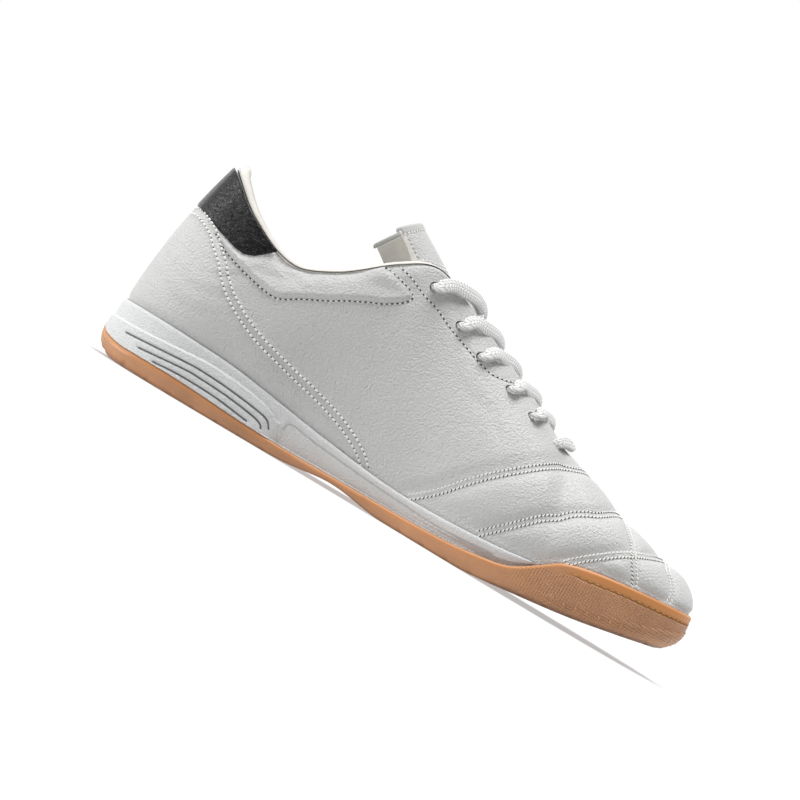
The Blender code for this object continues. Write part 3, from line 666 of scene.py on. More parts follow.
def tongue_spot(along, turn, sink=0.0):
    """Points of the tongue's outside: share along its run and turn round its arch."""
    along, turn = np.broadcast_arrays(np.asarray(along, float), np.asarray(turn, float))
    x = smooth(TONGUE, along, 1) * LENGTH
    z = smooth(TONGUE, along, 2) * INSTEP_HEIGHT
    half = smooth(TONGUE, along, 3) * BALL_WIDTH
    droop = smooth(TONGUE, along, 4) * BALL_WIDTH
    dx = smooth(TONGUE, along + 0.025, 1) - smooth(TONGUE, along - 0.025, 1)
    dz = smooth(TONGUE, along + 0.025, 2) - smooth(TONGUE, along - 0.025, 2)
    run = unit(point(dx * LENGTH, 0, dz * INSTEP_HEIGHT))
    down = point(-run[..., 2], 0, run[..., 0])
    arch = (1 - np.cos(turn)) / (1 - math.cos(TONGUE_ARCH))
    wide = np.sin(turn) / math.sin(TONGUE_ARCH)
    # Above the laces the tongue leans to the outer side, as it does in the photograph.
    arch = arch * (1 + np.where(wide < 0, 0.38, 0.42) * wide * ease(along, 0.62, 0.85))
    centre = point(x, ridge_across(x) + wide * half, z)
    # The end is cut in a curve, longer at its two corners.
    corner = np.where(wide < 0, 2.4, 2.0) * MM * wide**2 * ease(along, 0.88, 1.0)
    centre = centre + run * corner[..., None]
    return centre + down * (droop * arch + sink)[..., None]


@contextmanager
def reshaped(mesh):
    """Opens a mesh for editing and keeps what was changed."""
    shape = bmesh.new()
    shape.from_mesh(mesh)
    yield shape
    shape.to_mesh(mesh)
    shape.free()


def mesh_of_rows(name, rows, closed=False, across=None, up=None):
    """A quad mesh over rows of points, with a UV in metres where one is given."""
    rows = np.asarray(rows)
    levels, count = rows.shape[:2]
    spots = rows.reshape(-1, 3).copy()
    spots[:, 0] -= LENGTH / 2
    columns = count if closed else count - 1
    i = np.arange(columns)
    j = (i + 1) % count
    faces = []
    for low in range(levels - 1):
        a, b = low * count, (low + 1) * count
        faces.append(np.stack([a + i, a + j, b + j, b + i], axis=1))
    faces = np.concatenate(faces)
    mesh = bpy.data.meshes.new(name)
    mesh.from_pydata(spots.tolist(), [], faces.tolist())
    if across is not None:
        across, up = np.asarray(across, float), np.asarray(up, float)
        ahead = i + 1
        corners = []
        for at, over in zip(up[:-1], up[1:]):
            pairs = ((across[i], at[i]), (across[ahead], at[j]),
                     (across[ahead], over[j]), (across[i], over[i]))
            corners.append(np.stack([np.stack(pair, 1) for pair in pairs], axis=1))
        layer = mesh.uv_layers.new(name="surface")
        layer.data.foreach_set("uv", np.concatenate(corners).reshape(-1))
    with reshaped(mesh) as shape:
        bmesh.ops.remove_doubles(shape, verts=shape.verts, dist=MERGED)
    mesh.shade_smooth()
    return mesh


def link(mesh, material):
    made = bpy.data.objects.new(mesh.name, mesh)
    mesh.materials.append(material)
    bpy.context.scene.collection.objects.link(made)
    return made


def face_out(made, inside):
    """Turns a mesh's faces away from an inner point."""
    with reshaped(made.data) as shape:
        bmesh.ops.recalc_face_normals(shape, faces=shape.faces)
        inside = Vector(inside)
        total = sum((f.calc_center_median() - inside).dot(f.normal) for f in shape.faces)
        if total < 0:
            bmesh.ops.reverse_faces(shape, faces=shape.faces)


def thicken(made, wall, offset=-1):
    solid = made.modifiers.new("wall", "SOLIDIFY")
    solid.thickness = wall
    solid.offset = offset
    solid.use_even_offset = False


def settle(made):
    """Applies every modifier and keeps the result as a plain mesh."""
    bpy.context.view_layer.update()
    evaluated = made.evaluated_get(bpy.context.evaluated_depsgraph_get())
    mesh = bpy.data.meshes.new_from_object(evaluated)
    old = made.data
    made.modifiers.clear()
    made.data = mesh
    mesh.name = made.name
    if old.users == 0:
        bpy.data.meshes.remove(old)


def hand_in(piece, slot, *nodes):
    """Rides a piece on the shoe's one body and hides the CAD parts that it stands for."""
    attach(piece, "root")
    if nodes:
        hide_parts(*nodes)


def node(tree, kind, settings=None, **links):
    """Adds a node, sets its properties and inputs, and links what is a socket."""
    made = tree.nodes.new(kind)
    for name, value in (settings or {}).items():
        if name == "stops":
            set_stops(made.color_ramp.elements, value)
        else:
            setattr(made, name, value)
    for name, value in links.items():
        index = name[1:] if name.startswith("_") else name.replace("_", " ")
        socket = made.inputs[int(index)] if index.isdigit() else made.inputs[index]
        if isinstance(value, bpy.types.NodeSocket):
            tree.links.new(value, socket)
        else:
            socket.default_value = value
    return made


def set_stops(elements, stops):
    """Gives a colour ramp its (place, colour) stops."""
    while len(elements) < len(stops):
        elements.new(0.5)
    for element, (place, tint) in zip(elements, stops):
        element.position = place
        element.color = tint


def new_material(name, tint, roughness, specular=0.5):
    """A Principled material, its tree, its shader and its base colour."""
    made = bpy.data.materials.new(name)
    made.use_nodes = True
    tree = made.node_tree
    shader = tree.nodes["Principled BSDF"]
    shader.inputs["Base Color"].default_value = (*tint, 1)
    shader.inputs["Roughness"].default_value = roughness
    shader.inputs["Specular IOR Level"].default_value = specular
    return made, tree, shader


def shade(tint, factor):
    return tuple(min(c * factor, 1) for c in tint) + (1,)


def bumped(tree, shader, layers):
    """Lays a finish's relief, coarse to fine: (height socket, strength, depth in metres)."""
    last = None
    for height, strength, distance in layers:
        settings = {"Height": height, "Strength": strength, "Distance": distance}
        bump = node(tree, "ShaderNodeBump", None, **settings)
        if last:
            tree.links.new(last, bump.inputs["Normal"])
        last = bump.outputs["Normal"]
    tree.links.new(last, shader.inputs["Normal"])


def coated_leather(colours):
    """White coated leather: a satin film over a fine pebble with small soft wrinkles."""
    made, tree, shader = new_material("white_coated_leather", colours.leather, 0.42)
    spots = node(tree, "ShaderNodeTexCoord").outputs["Object"]
    # Slack of 9 mm, wrinkles of 3.4 mm, pebbles of 1.1 mm and a grain of 0.85 mm; the real
    # pebble is a little finer, and would not show at this distance.
    cells = node(tree, "ShaderNodeTexVoronoi", {"feature": "F1"}, Vector=spots,
                 Scale=1 / (1.1 * MM))
    pebble = node(tree, "ShaderNodeMath", {"operation": "SUBTRACT"}, _0=1.0,
                  _1=cells.outputs["Distance"])
    wrinkle = node(tree, "ShaderNodeTexNoise", None, Vector=spots, Scale=1 / (3.4 * MM), Detail=2.0,
                   Roughness=0.5, Distortion=1.5)
    grain = node(tree, "ShaderNodeTexNoise", None, Vector=spots, Scale=1 / (0.85 * MM), Detail=1.5,
                 Roughness=0.6, Distortion=0.3)
    slack = node(tree, "ShaderNodeTexNoise", None, Vector=spots, Scale=1 / (9 * MM), Detail=2.0)
    tone = node(tree, "ShaderNodeTexNoise", None, Vector=spots, Scale=1 / (28 * MM), Detail=2.0)
    film = node(tree, "ShaderNodeValToRGB", {"stops": [
        (0.3, shade(colours.leather, 0.965)), (0.7, shade(colours.leather, 1.0))]},
        Fac=tone.outputs["Fac"]).outputs["Color"]
    tree.links.new(film, shader.inputs["Base Color"])
    gloss = node(tree, "ShaderNodeMapRange", None, Value=wrinkle.outputs["Fac"],
                 To_Min=0.36, To_Max=0.50)
    tree.links.new(gloss.outputs["Result"], shader.inputs["Roughness"])
    bumped(tree, shader, [
        (slack.outputs["Fac"], 0.5, 0.35 * MM),
        (wrinkle.outputs["Fac"], 0.7, 0.10 * MM),
        (grain.outputs["Fac"], 1.0, 0.50 * MM),
        (pebble.outputs[0], 1.0, 0.20 * MM),
    ])
    return made


def crinkled_leather(colours):
    """Black patent-like leather: glossy film broken into level crinkles."""
    made, tree, shader = new_material("black_crinkled_leather", colours.tab, 0.28, 0.35)
    spots = node(tree, "ShaderNodeTexCoord").outputs["Object"]
    flat = node(tree, "ShaderNodeMapping", None, Vector=spots)
    flat.inputs["Scale"].default_value = (0.8, 0.8, 1.3)
    crinkle = node(tree, "ShaderNodeTexNoise", None, Vector=flat.outputs["Vector"],
                   Scale=1 / (2.2 * MM), Detail=4.0, Roughness=0.6, Distortion=1.6)
    cells = node(tree, "ShaderNodeTexVoronoi", {"feature": "DISTANCE_TO_EDGE"},
                 Vector=flat.outputs["Vector"], Scale=1 / (2.2 * MM))
    gloss = node(tree, "ShaderNodeMapRange", None, Value=crinkle.outputs["Fac"],
                 To_Min=0.18, To_Max=0.40)
    tree.links.new(gloss.outputs["Result"], shader.inputs["Roughness"])
    bumped(tree, shader, [
        (crinkle.outputs["Fac"], 0.9, 0.48 * MM),
        (cells.outputs["Distance"], 0.5, 0.14 * MM),
    ])
    return made


def gum_rubber(colours):
    """Moulded gum rubber: satin, slightly cloudy, ribbed on the toe and heel sides."""
    made, tree, shader = new_material("gum_rubber", colours.gum, 0.42)
    shader.inputs["Subsurface Weight"].default_value = 0.06
    shader.inputs["Subsurface Radius"].default_value = (2 * MM, 1 * MM, 0.5 * MM)
    spots = node(tree, "ShaderNodeTexCoord").outputs["Object"]
    flat = node(tree, "ShaderNodeUVMap", {"uv_map": "surface"})
    parts = node(tree, "ShaderNodeSeparateXYZ", None, Vector=flat.outputs["UV"])
    # A moulded hatch: upright ribs every 1.3 mm, crossed by finer level lines.
    waves = []
    for axis, pitch, height in (("X", 1.3 * MM, 0.9), ("Y", 1.1 * MM, 0.7)):
        turns = node(tree, "ShaderNodeMath", {"operation": "MULTIPLY"}, _0=parts.outputs[axis],
                     _1=2 * math.pi / pitch)
        wave = node(tree, "ShaderNodeMath", {"operation": "SINE"}, _0=turns.outputs[0])
        waves.append(node(tree, "ShaderNodeMath", {"operation": "MULTIPLY"}, _0=wave.outputs[0],
                          _1=height).outputs[0])
    ribs = node(tree, "ShaderNodeMath", {"operation": "ADD"}, _0=waves[0], _1=waves[1])
    mask = node(tree, "ShaderNodeAttribute", {"attribute_name": "ribbed"})
    cut = node(tree, "ShaderNodeMath", {"operation": "MULTIPLY"}, _0=ribs.outputs[0],
               _1=mask.outputs["Fac"])
    cloud = node(tree, "ShaderNodeTexNoise", None, Vector=spots, Scale=1 / (14 * MM), Detail=3.0)
    grain = node(tree, "ShaderNodeTexNoise", None, Vector=spots, Scale=1 / (0.7 * MM), Detail=2.0)
    body = node(tree, "ShaderNodeValToRGB", {"stops": [
        (0.3, shade(colours.gum, 0.88)), (0.7, shade(colours.gum, 1.08))]},
        Fac=cloud.outputs["Fac"]).outputs["Color"]
    lip = node(tree, "ShaderNodeAttribute", {"attribute_name": "lip"})
    dark = node(tree, "ShaderNodeAttribute", {"attribute_name": "groove"})
    warm = node(tree, "ShaderNodeMix", {"data_type": "RGBA"}, Factor=lip.outputs["Fac"])
    tree.links.new(body, warm.inputs[6])
    warm.inputs[7].default_value = (*colours.gum_lip, 1)
    # Painted shade: the 'groove' attribute darkens the gum in the rand's groove and towards the
    # tread's bottom edge.
    deep = node(tree, "ShaderNodeMix", {"data_type": "RGBA"}, Factor=dark.outputs["Fac"])
    tree.links.new(warm.outputs[2], deep.inputs[6])
    deep.inputs[7].default_value = shade(colours.gum, 0.22)
    tree.links.new(deep.outputs[2], shader.inputs["Base Color"])
    bumped(tree, shader, [
        (cut.outputs[0], 1.0, 0.16 * MM),
        (grain.outputs["Fac"], 0.3, 0.12 * MM),
    ])
    return made


def moulded_foam(colours):
    """Painted foam midsole: matte skin with faint mould grain, with painted shade in its grooves,
    along its waist line and at its joint with the leather.
    """
    made, tree, shader = new_material("moulded_foam", colours.midsole, 0.52)
    spots = node(tree, "ShaderNodeTexCoord").outputs["Object"]
    grain = node(tree, "ShaderNodeTexNoise", None, Vector=spots, Scale=1 / (0.8 * MM), Detail=3.0)
    tone = node(tree, "ShaderNodeTexNoise", None, Vector=spots, Scale=1 / (30 * MM), Detail=2.0)
    body = node(tree, "ShaderNodeValToRGB", {"stops": [
        (0.3, shade(colours.midsole, 0.96)), (0.7, shade(colours.midsole, 1.0))]},
        Fac=tone.outputs["Fac"]).outputs["Color"]
    dark = node(tree, "ShaderNodeAttribute", {"attribute_name": "groove"})
    deep = node(tree, "ShaderNodeMix", {"data_type": "RGBA"}, Factor=dark.outputs["Fac"])
    tree.links.new(body, deep.inputs[6])
    deep.inputs[7].default_value = shade(colours.midsole, 0.14)
    tree.links.new(deep.outputs[2], shader.inputs["Base Color"])
    bumped(tree, shader, [(grain.outputs["Fac"], 1.0, 0.8 * MM)])
    return made


def lining_cloth(colours):
    """Warp-knit lining: soft matte textile with a fine mesh of 0.9 mm."""
    made, tree, shader = new_material("lining_cloth", colours.lining, 0.9, 0.2)
    shader.inputs["Sheen Weight"].default_value = 0.25
    spots = node(tree, "ShaderNodeTexCoord").outputs["Object"]
    knit = node(tree, "ShaderNodeTexVoronoi", {"feature": "F1"}, Vector=spots, Scale=1 / (0.9 * MM),
                Randomness=0.35)
    fuzz = node(tree, "ShaderNodeTexNoise", None, Vector=spots, Scale=1 / (5 * MM), Detail=3.0)
    body = node(tree, "ShaderNodeValToRGB", {"stops": [
        (0.3, shade(colours.lining, 0.9)), (0.7, shade(colours.lining, 1.04))]},
        Fac=fuzz.outputs["Fac"]).outputs["Color"]
    tree.links.new(body, shader.inputs["Base Color"])
    bumped(tree, shader, [
        (knit.outputs["Distance"], 0.5, 0.2 * MM),
        (fuzz.outputs["Fac"], 0.3, 0.3 * MM),
    ])
    return made


def braided_polyester(colours):
    """Flat polyester lace: matte with a little sheen, braided in a fine herringbone."""
    made, tree, shader = new_material("braided_polyester", colours.lace, 0.68, 0.3)
    shader.inputs["Sheen Weight"].default_value = 0.35
    spots = node(tree, "ShaderNodeTexCoord").outputs["Object"]
    flat = node(tree, "ShaderNodeUVMap", {"uv_map": "surface"})
    parts = node(tree, "ShaderNodeSeparateXYZ", None, Vector=flat.outputs["UV"])

    # Four rows of strands, 1.5 mm long, that slant by turns to the left and the right.
    steps = [
        # name, operation, then earlier steps by name or plain numbers
        ("row", "MULTIPLY_ADD", "across", 2.0, 2.0),
        ("number", "FLOOR", "row"),
        ("odd", "PINGPONG", "number", 1.0),
        ("slant", "MULTIPLY_ADD", "odd", -2.0, 1.0),
        ("part", "FRACT", "row"),
        ("inside", "MULTIPLY_ADD", "part", 2.0, -1.0),
        ("lean", "MULTIPLY", "slant", "inside"),
        ("offset", "MULTIPLY", "lean", 0.42),
        ("phase", "MULTIPLY_ADD", "along", 1 / (1.5 * MM), "offset"),
        ("strand", "PINGPONG", "phase", 0.5),
        ("whole", "MULTIPLY", "strand", 2.0),
        ("rest", "SUBTRACT", 1.0, "whole"),
        ("gap", "POWER", "rest", 3.0),
        ("off_middle", "ABSOLUTE", "inside"),
        ("side", "POWER", "off_middle", 6.0),
        ("low", "MAXIMUM", "gap", "side"),
        ("height", "SUBTRACT", 1.0, "low"),
    ]
    made_of = {"across": parts.outputs["X"], "along": parts.outputs["Y"]}
    for name, operation, *given in steps:
        links = {f"_{i}": made_of.get(value, value) for i, value in enumerate(given)}
        made_of[name] = node(tree, "ShaderNodeMath", {"operation": operation}, **links).outputs[0]
    # Painted shade: the lace darkens to half its colour in the gaps between the braid's strands and
    # rows.
    tint = node(tree, "ShaderNodeValToRGB", {"stops": [
        (0.25, (*colours.lace, 1)), (0.95, shade(colours.lace, 0.50))]}, Fac=made_of["low"])
    tree.links.new(tint.outputs["Color"], shader.inputs["Base Color"])
    fibre = node(tree, "ShaderNodeTexNoise", None, Vector=spots, Scale=1 / (0.35 * MM), Detail=2.0)
    bumped(tree, shader, [
        (made_of["height"], 0.8, 0.3 * MM),
        (fibre.outputs["Fac"], 0.3, 0.08 * MM),
    ])
    return made


def bonded_thread(colours):
    """Bonded nylon thread: slightly glossy."""
    return new_material("bonded_thread", colours.thread, 0.5)[0]


def woven_binding(colours):
    """Grey woven tape over the tongue's end, with a fine 0.6 mm weave."""
    made, tree, shader = new_material("woven_binding", colours.binding, 0.75, 0.3)
    spots = node(tree, "ShaderNodeTexCoord").outputs["Object"]
    weave = node(tree, "ShaderNodeTexVoronoi", {"feature": "F1"}, Vector=spots,
                 Scale=1 / (0.6 * MM), Randomness=0.5)
    bumped(tree, shader, [(weave.outputs["Distance"], 0.4, 0.15 * MM)])
    return made


def gum_thread(colours):
    """The rand's thread, dyed near the gum's colour."""
    return new_material("gum_thread", colours.rand_thread, 0.55)[0]


def painted_hole_shade(colours):
    """Painted shade: the dark inside of a punched hole, also used for the eyelets' discs and the
    strip under the collar's roll.
    """
    return new_material("painted_hole_shade", colours.hole, 0.9, 0.1)[0]


MATERIALS = {}


def material(name):
    """Each material is made once, from the colours in the scene's settings."""
    makers = {
        "leather": coated_leather,
        "tab": crinkled_leather,
        "gum": gum_rubber,
        "foam": moulded_foam,
        "lining": lining_cloth,
        "lace": braided_polyester,
        "thread": bonded_thread,
        "hole": painted_hole_shade,
        "binding": woven_binding,
        "gum_thread": gum_thread,
    }
    if name not in MATERIALS:
        MATERIALS[name] = makers[name](bpy.context.scene.shoe_colours)
    return MATERIALS[name]


def round_ways(count):
    return np.linspace(0, 2, count, endpoint=False)


def along_outline(way):
    """Distance along the outline at each way, with the closing value at the end."""
    spots = outline(np.append(way, 2.0))
    gaps = np.linalg.norm(np.diff(spots, axis=0), axis=1)
    return np.concatenate([[0], np.cumsum(gaps)])


def paint(made, name, values):
    """Stores one number per vertex for the material to read."""
    layer = made.data.attributes.new(name, "FLOAT", "POINT")
    layer.data.foreach_set("value", np.asarray(values, np.float32))


def corner_spots(made):
    """The mesh's vertices, from the heel's back."""
    flat = np.empty(len(made.data.vertices) * 3)
    made.data.vertices.foreach_get("co", flat)
    spots = flat.reshape(-1, 3)
    spots[:, 0] += LENGTH / 2
    return spots


def way_of_spots(spots):
    """The way nearest to each spot, seen from above."""
    ways = np.linspace(0, 2, 1600, endpoint=False)
    line = outline(ways)[:, :2]
    found = np.empty(len(spots))
    for start in range(0, len(spots), 4000):
        part = spots[start : start + 4000, :2]
        gap = ((part[:, None] - line[None]) ** 2).sum(axis=2)
        found[start : start + 4000] = ways[np.argmin(gap, axis=1)]
    return found


def make_cup():
    """The gum cup with its ribbed rand, lip, thread groove and channelled tread."""
    way = round_ways(660)
    place, _ = folded(way)
    centre = spine(way)
    inset = edge_at(ROUND_EDGE, way, 1)
    high = edge_at(ROUND_EDGE, way, 2)
    low_spot = ring(way, inset, 0)
    bottom = sole_at(low_spot[:, 0], 1)
    floor = sole_at(ring(way, RIM_WALL, 0)[:, 0], 2)
    edge = np.maximum(edge_at(CUP_EDGE, way), floor + CLEARANCE)
    side_low = np.minimum(bottom + high, edge - 1 * MM)
    rows, ups = [], []

    def tread(spots):
        """Channels across the tread, before and behind the arch."""
        x = spots[:, 0]
        z = sole_at(x, 1)
        deep = (1 - ease(off_channel(x), 0.9, 1.5)) * treaded(x)
        return point(spots[:, 0], spots[:, 1], z + deep * 1.0 * MM)

    for k in range(15):
        part = k / 15
        spots = centre * (1 - part) + low_spot * part
        rows.append(tread(spots))
        ups.append(-inset + 0 * way)
    rows.append(point(low_spot[:, 0], low_spot[:, 1], bottom))
    ups.append(bottom)
    for k in range(1, 7):
        turn = math.pi / 2 * k / 6
        height = bottom + (side_low - bottom) * (1 - math.cos(turn))
        spot = ring(way, inset * (1 - math.sin(turn)), height)
        cut = (1 - ease(off_channel(spot[:, 0]), 0.8, 1.4)) * treaded(spot[:, 0])
        spot[:, 2] += cut * 1.0 * MM * (1 - k / 6)
        rows.append(spot)
        ups.append(spot[:, 2])
    groove_z = smooth(RAND_GROOVE, place) * MM
    for k in range(1, 34):
        height = side_low + (edge - 0.5 * MM - side_low) * k / 33
        gap = (height - groove_z) / MM
        in_rand = ease(place, *RAND_START)
        dent = np.exp(-((gap / 0.55) ** 2)) * 0.7 * MM * in_rand
        lip = ease(gap, 0.3, 1.2) * 0.35 * MM * in_rand
        rounded = 1 - np.sqrt(1 - np.clip(1 - (edge - height) / (1.5 * MM), 0, 1) ** 2)
        spot = ring(way, side_lean(height) + dent + lip + rounded * 1.0 * MM, height)
        rows.append(spot)
        ups.append(height)
    lip_in = ease(place, *RAND_START) * 0.35 * MM
    rows += [
        ring(way, side_lean(edge) + 0.8 * MM + lip_in, edge - 0.12 * MM),
        ring(way, side_lean(edge) + 1.2 * MM + lip_in, edge),
        ring(way, RIM_WALL, edge),
        ring(way, RIM_WALL, floor),
        point(centre[:, 0], centre[:, 1], sole_at(centre[:, 0], 2)),
    ]
    ups += [edge, edge, edge, floor, floor]
    mesh = mesh_of_rows("gum_cup_sole", rows, True, along_outline(way), ups)
    made = link(mesh, material("gum"))
    face_out(made, (0, 0, 0.01))
    spots = corner_spots(made)
    near = way_of_spots(spots)
    place, _ = folded(near)
    reach = np.linalg.norm((spots - outline(near))[:, :2], axis=1) / MM
    height = spots[:, 2] / MM
    line = smooth(RAND_GROOVE, place)
    in_rand = ease(place, *RAND_START)
    top = edge_at(CUP_EDGE, near) / MM
    outer = reach < 2.2
    toe = ease(place, 0.62, 0.70) * ease(line - height, 0.6, 1.6)
    heel = (1 - ease(place, 0.06, 0.15)) * ease(top - height, 0.8, 1.8)
    paint(made, "ribbed", np.where(height < top - 0.6, np.maximum(toe, heel), 0) * (height > 1.5))
    thin = ease(top - height, 2.4, 1.2) * (1 - in_rand)
    lip = np.maximum(in_rand * ease(height - line, 0.2, 0.9), thin * 0.5)
    paint(made, "lip", np.where(outer, lip, 0))
    # Painted shade: a dark line in the rand's groove just under its thread, and darkening towards
    # the tread's bottom edge, stronger at the toe.
    dark = np.exp(-(((height - line + 0.35) / 0.38) ** 2)) * in_rand * outer
    low = height - sole_at(spots[:, 0], 1) / MM
    fore = ease(spots[:, 0] / LENGTH, 0.66, 0.74)
    tread_edge_shade = (1 - ease(low, 0.2 + 0.5 * fore, 1.2 + 1.0 * fore)) * (0.40 + 0.35 * fore)
    paint(made, "groove", np.clip(np.maximum(dark * 0.85, tread_edge_shade), 0, 1))
    hand_in(made, "outsole", "outsole")


def line_gap(x, z, line):
    """Distance in the side view from spots to a line, all in millimetres."""
    line = np.asarray(line, float)
    knots = np.arange(len(line), dtype=float)
    fine = np.linspace(0, len(line) - 1, 110 * len(line))
    px = smooth(list(zip(knots, line[:, 0])), fine)
    pz = smooth(list(zip(knots, line[:, 1])), fine)
    best = np.full(len(x), 1e9)
    for start in range(0, len(x), 8000):
        a = x[start : start + 8000, None] - px[None]
        b = z[start : start + 8000, None] - pz[None]
        best[start : start + 8000] = np.sqrt((a * a + b * b).min(axis=1))
    return best


def make_midsole():
    """The pale midsole with its rim, heel step, three grooves and waist panel."""
    fine = np.linspace(0.335, 0.392, 110)
    way = np.sort(np.concatenate([round_ways(700), fine, 2 - fine]))
    place, _ = folded(way)
    centre = spine(way)
    inner_spot = ring(way, RIM_WALL, 0)
    floor = sole_at(inner_spot[:, 0], 2) + CLEARANCE
    bed = sole_at(inner_spot[:, 0], 3)
    cup = np.maximum(edge_at(CUP_EDGE, way), floor) + 0.1 * MM
    rim = edge_at(RIM_EDGE, way)
    show = ease(rim - cup, 0.0, 1.2 * MM) * (place < 0.67)
    seat = RIM_WALL + CLEARANCE
    top = np.where(show > 0, np.maximum(rim, cup + 0.05 * MM), bed)
    base = np.minimum(cup, top)
    rows = [
        point(centre[:, 0], centre[:, 1], sole_at(centre[:, 0], 2) + CLEARANCE),
        ring(way, seat + 6 * MM, floor),
        ring(way, seat, floor),
        ring(way, seat, np.minimum(base, floor + (base - floor) * 0.98)),
    ]
    step_z = smooth(STEP_LINE, outline(way)[:, 0] / MM) * MM
    x = outline(way)[:, 0] / MM
    levels = 84
    for k in range(levels + 1):
        height = base + (top - 0.5 * MM - base) * k / levels
        z = height / MM
        proud = ease(step_z / MM - z, -0.3, 0.4) * ease(86 - x, 0, 6) * 1.1
        carve = np.zeros(len(way))
        for groove in GROOVES:
            carve += 1.1 * np.exp(-((line_gap(x, z, groove) / 0.5) ** 2))
        carve += 0.3 * np.exp(-((line_gap(x, z, WAIST_LINE) / 0.5) ** 2))
        relief = (1.1 - proud + np.minimum(carve, 1.2)) * MM * ease(z * MM - base, 0, 0.6 * MM)
        rounded = 1 - np.sqrt(1 - np.clip(1 - (top - height) / (2.0 * MM), 0, 1) ** 2)
        tuck = (top - height) / np.maximum(top - base, 1 * MM)
        over_step = ease(z - step_z / MM, 0, 0.5) * ease(90 - x, 0, 5)
        tuck = tuck * (ease(x, 84, 92) + 0.6 * ease(x, 10, 60) * over_step)
        inset = side_lean(height) + relief * 0.9 + (rounded * 1.3 + tuck * 2.6) * MM
        rows.append(ring(way, seat + (inset - seat) * show, height))
    rows.append(ring(way, seat + (side_lean(top) + 1.9 * MM - seat) * show, top - 0.12 * MM))
    rows.append(ring(way, seat + (side_lean(top) + 2.3 * MM - seat) * show, top))
    rows.append(ring(way, np.where(show > 0, RIM_WALL, seat + 0.4 * MM), top))
    rows.append(ring(way, RIM_WALL + 1 * MM * (1 - show), bed))
    rows.append(point(centre[:, 0], centre[:, 1], sole_at(centre[:, 0], 3)))
    made = link(mesh_of_rows("foam_midsole", rows, True), material("foam"))
    face_out(made, (0, 0, 0.012))
    spots = corner_spots(made)
    dark = np.zeros(len(spots))
    near = way_of_spots(spots)
    reach = np.linalg.norm((spots - outline(near))[:, :2], axis=1) / MM
    seen = spots[:, 0] / MM, spots[:, 2] / MM
    # Painted shade: dark lines in the grooves and along the waist panel's edge, and a dark line
    # where the leather meets the rim.
    for groove in GROOVES:
        dark = np.maximum(dark, np.exp(-((line_gap(*seen, groove) / 0.34) ** 2)))
    waist = 0.35 * np.exp(-((line_gap(*seen, WAIST_LINE) / 0.4) ** 2))
    joint_shade = 0.6 * ease(reach, 2.1, 2.5) * (spots[:, 2] > edge_at(RIM_EDGE, near) - 0.3 * MM)
    paint(made, "groove", np.where(reach < 3, np.maximum.reduce([dark, waist, joint_shade]), 0))
    hand_in(made, "midsole", "midsole")


# The finished leather's surface before its eyelets are cut, for what lies on it.
SKIN = []


def make_upper(sizes):
    """The leather upper: one wall with quilted toe, overlays and punched eyelets."""
    relief = Relief(sizes)
    way = round_ways(480)
    shares = np.concatenate([np.linspace(0.0, 0.975, 80), [0.983, 0.99, 0.996, 1.0]])
    rows = []
    bed_spot = ring(way, RIM_WALL + CLEARANCE, 0)
    rows.append(point(bed_spot[:, 0], bed_spot[:, 1], sole_at(bed_spot[:, 0], 3) + CLEARANCE))
    grid_way, grid_share = np.meshgrid(way, shares)
    spots = rib(grid_way, grid_share)
    out = normal_at(grid_way, grid_share)
    place, _ = folded(grid_way)
    lift = relief(grid_way, grid_share).reshape(grid_way.shape) + creases(spots)
    lift = lift * ease(grid_share, 0.0, 0.05)
    below_top = np.linalg.norm(spots - spots[-1], axis=2) / MM
    curl = np.where(place < THROAT_WAY, np.clip(1 - below_top / 1.6, 0, 1) ** 2, 0)
    soft = np.clip(1 - below_top / 7, 0, 1) ** 2 * (1 - ease(place, 0.40, 0.46))
    spots = spots + out * (lift - (curl * 1.0 + soft * 1.6) * MM)[..., None]
    spots[-1] = average_ridge(way, spots[-1])
    rows.extend(spots)
    made = link(mesh_of_rows("leather_upper", rows, True), material("leather"))
    face_out(made, (0, 0, INSTEP_HEIGHT / 3))
    thicken(made, sizes.upper_wall)
    settle(made)
    mesh = made.data
    SKIN.append(BVHTree.FromPolygons(
        [v.co for v in mesh.vertices], [tuple(f.vertices) for f in mesh.polygons]))
    punch_eyelets(made, sizes)
    hand_in(made, "upper", "upper")
    paint_eyelet_shade(sizes)


def paint_eyelet_shade(sizes):
    """Dark discs just under the leather: painted shade seen through the eyelets."""
    under = sizes.upper_wall + 0.25 * MM
    mesh = eyelet_discs("eyelet_shade_discs", sizes.eyelet * 0.7, 0.3 * MM, under)
    hand_in(link(mesh, material("hole")), "upper")


def eyelet_discs(name, radius, depth, under):
    """A round disc at every eyelet, square to the leather and a distance under its face."""
    mesh = bpy.data.meshes.new(name)
    with reshaped(mesh) as shape:
        for number in range(len(EYELETS)):
            for side in (-1, 1):
                way, share = eyelet_at(number, side)
                out = Vector(normal_at(way, share))
                turn = out.to_track_quat("Z", "Y").to_matrix().to_4x4()
                spot = Vector(rib(way, share)) - out * under
                turn.translation = spot - Vector((LENGTH / 2, 0, 0))
                bmesh.ops.create_cone(
                    shape, cap_ends=True, segments=20, radius1=radius, radius2=radius,
                    depth=depth, matrix=turn)
    return mesh


def laid_down(spots, outs):
    """Points moved along their outward directions onto the finished leather."""
    result = np.array(spots)
    shift = np.array([LENGTH / 2, 0, 0])
    for i, (spot, out) in enumerate(zip(spots - shift, outs)):
        found = SKIN[0].ray_cast(Vector(spot + out * 5 * MM), Vector(-out), 9 * MM)[0]
        if found:
            result[i] = np.array(found) + shift
    return result


def average_ridge(way, top):
    """Makes both sides' ridge points the same, so that they join."""
    place, _ = folded(way)
    result = top.copy()
    count = len(way)
    for i in range(count):
        if place[i] >= THROAT_WAY - 1e-6:
            j = (count - i) % count
            result[i] = (top[i] + top[j]) / 2
    return result


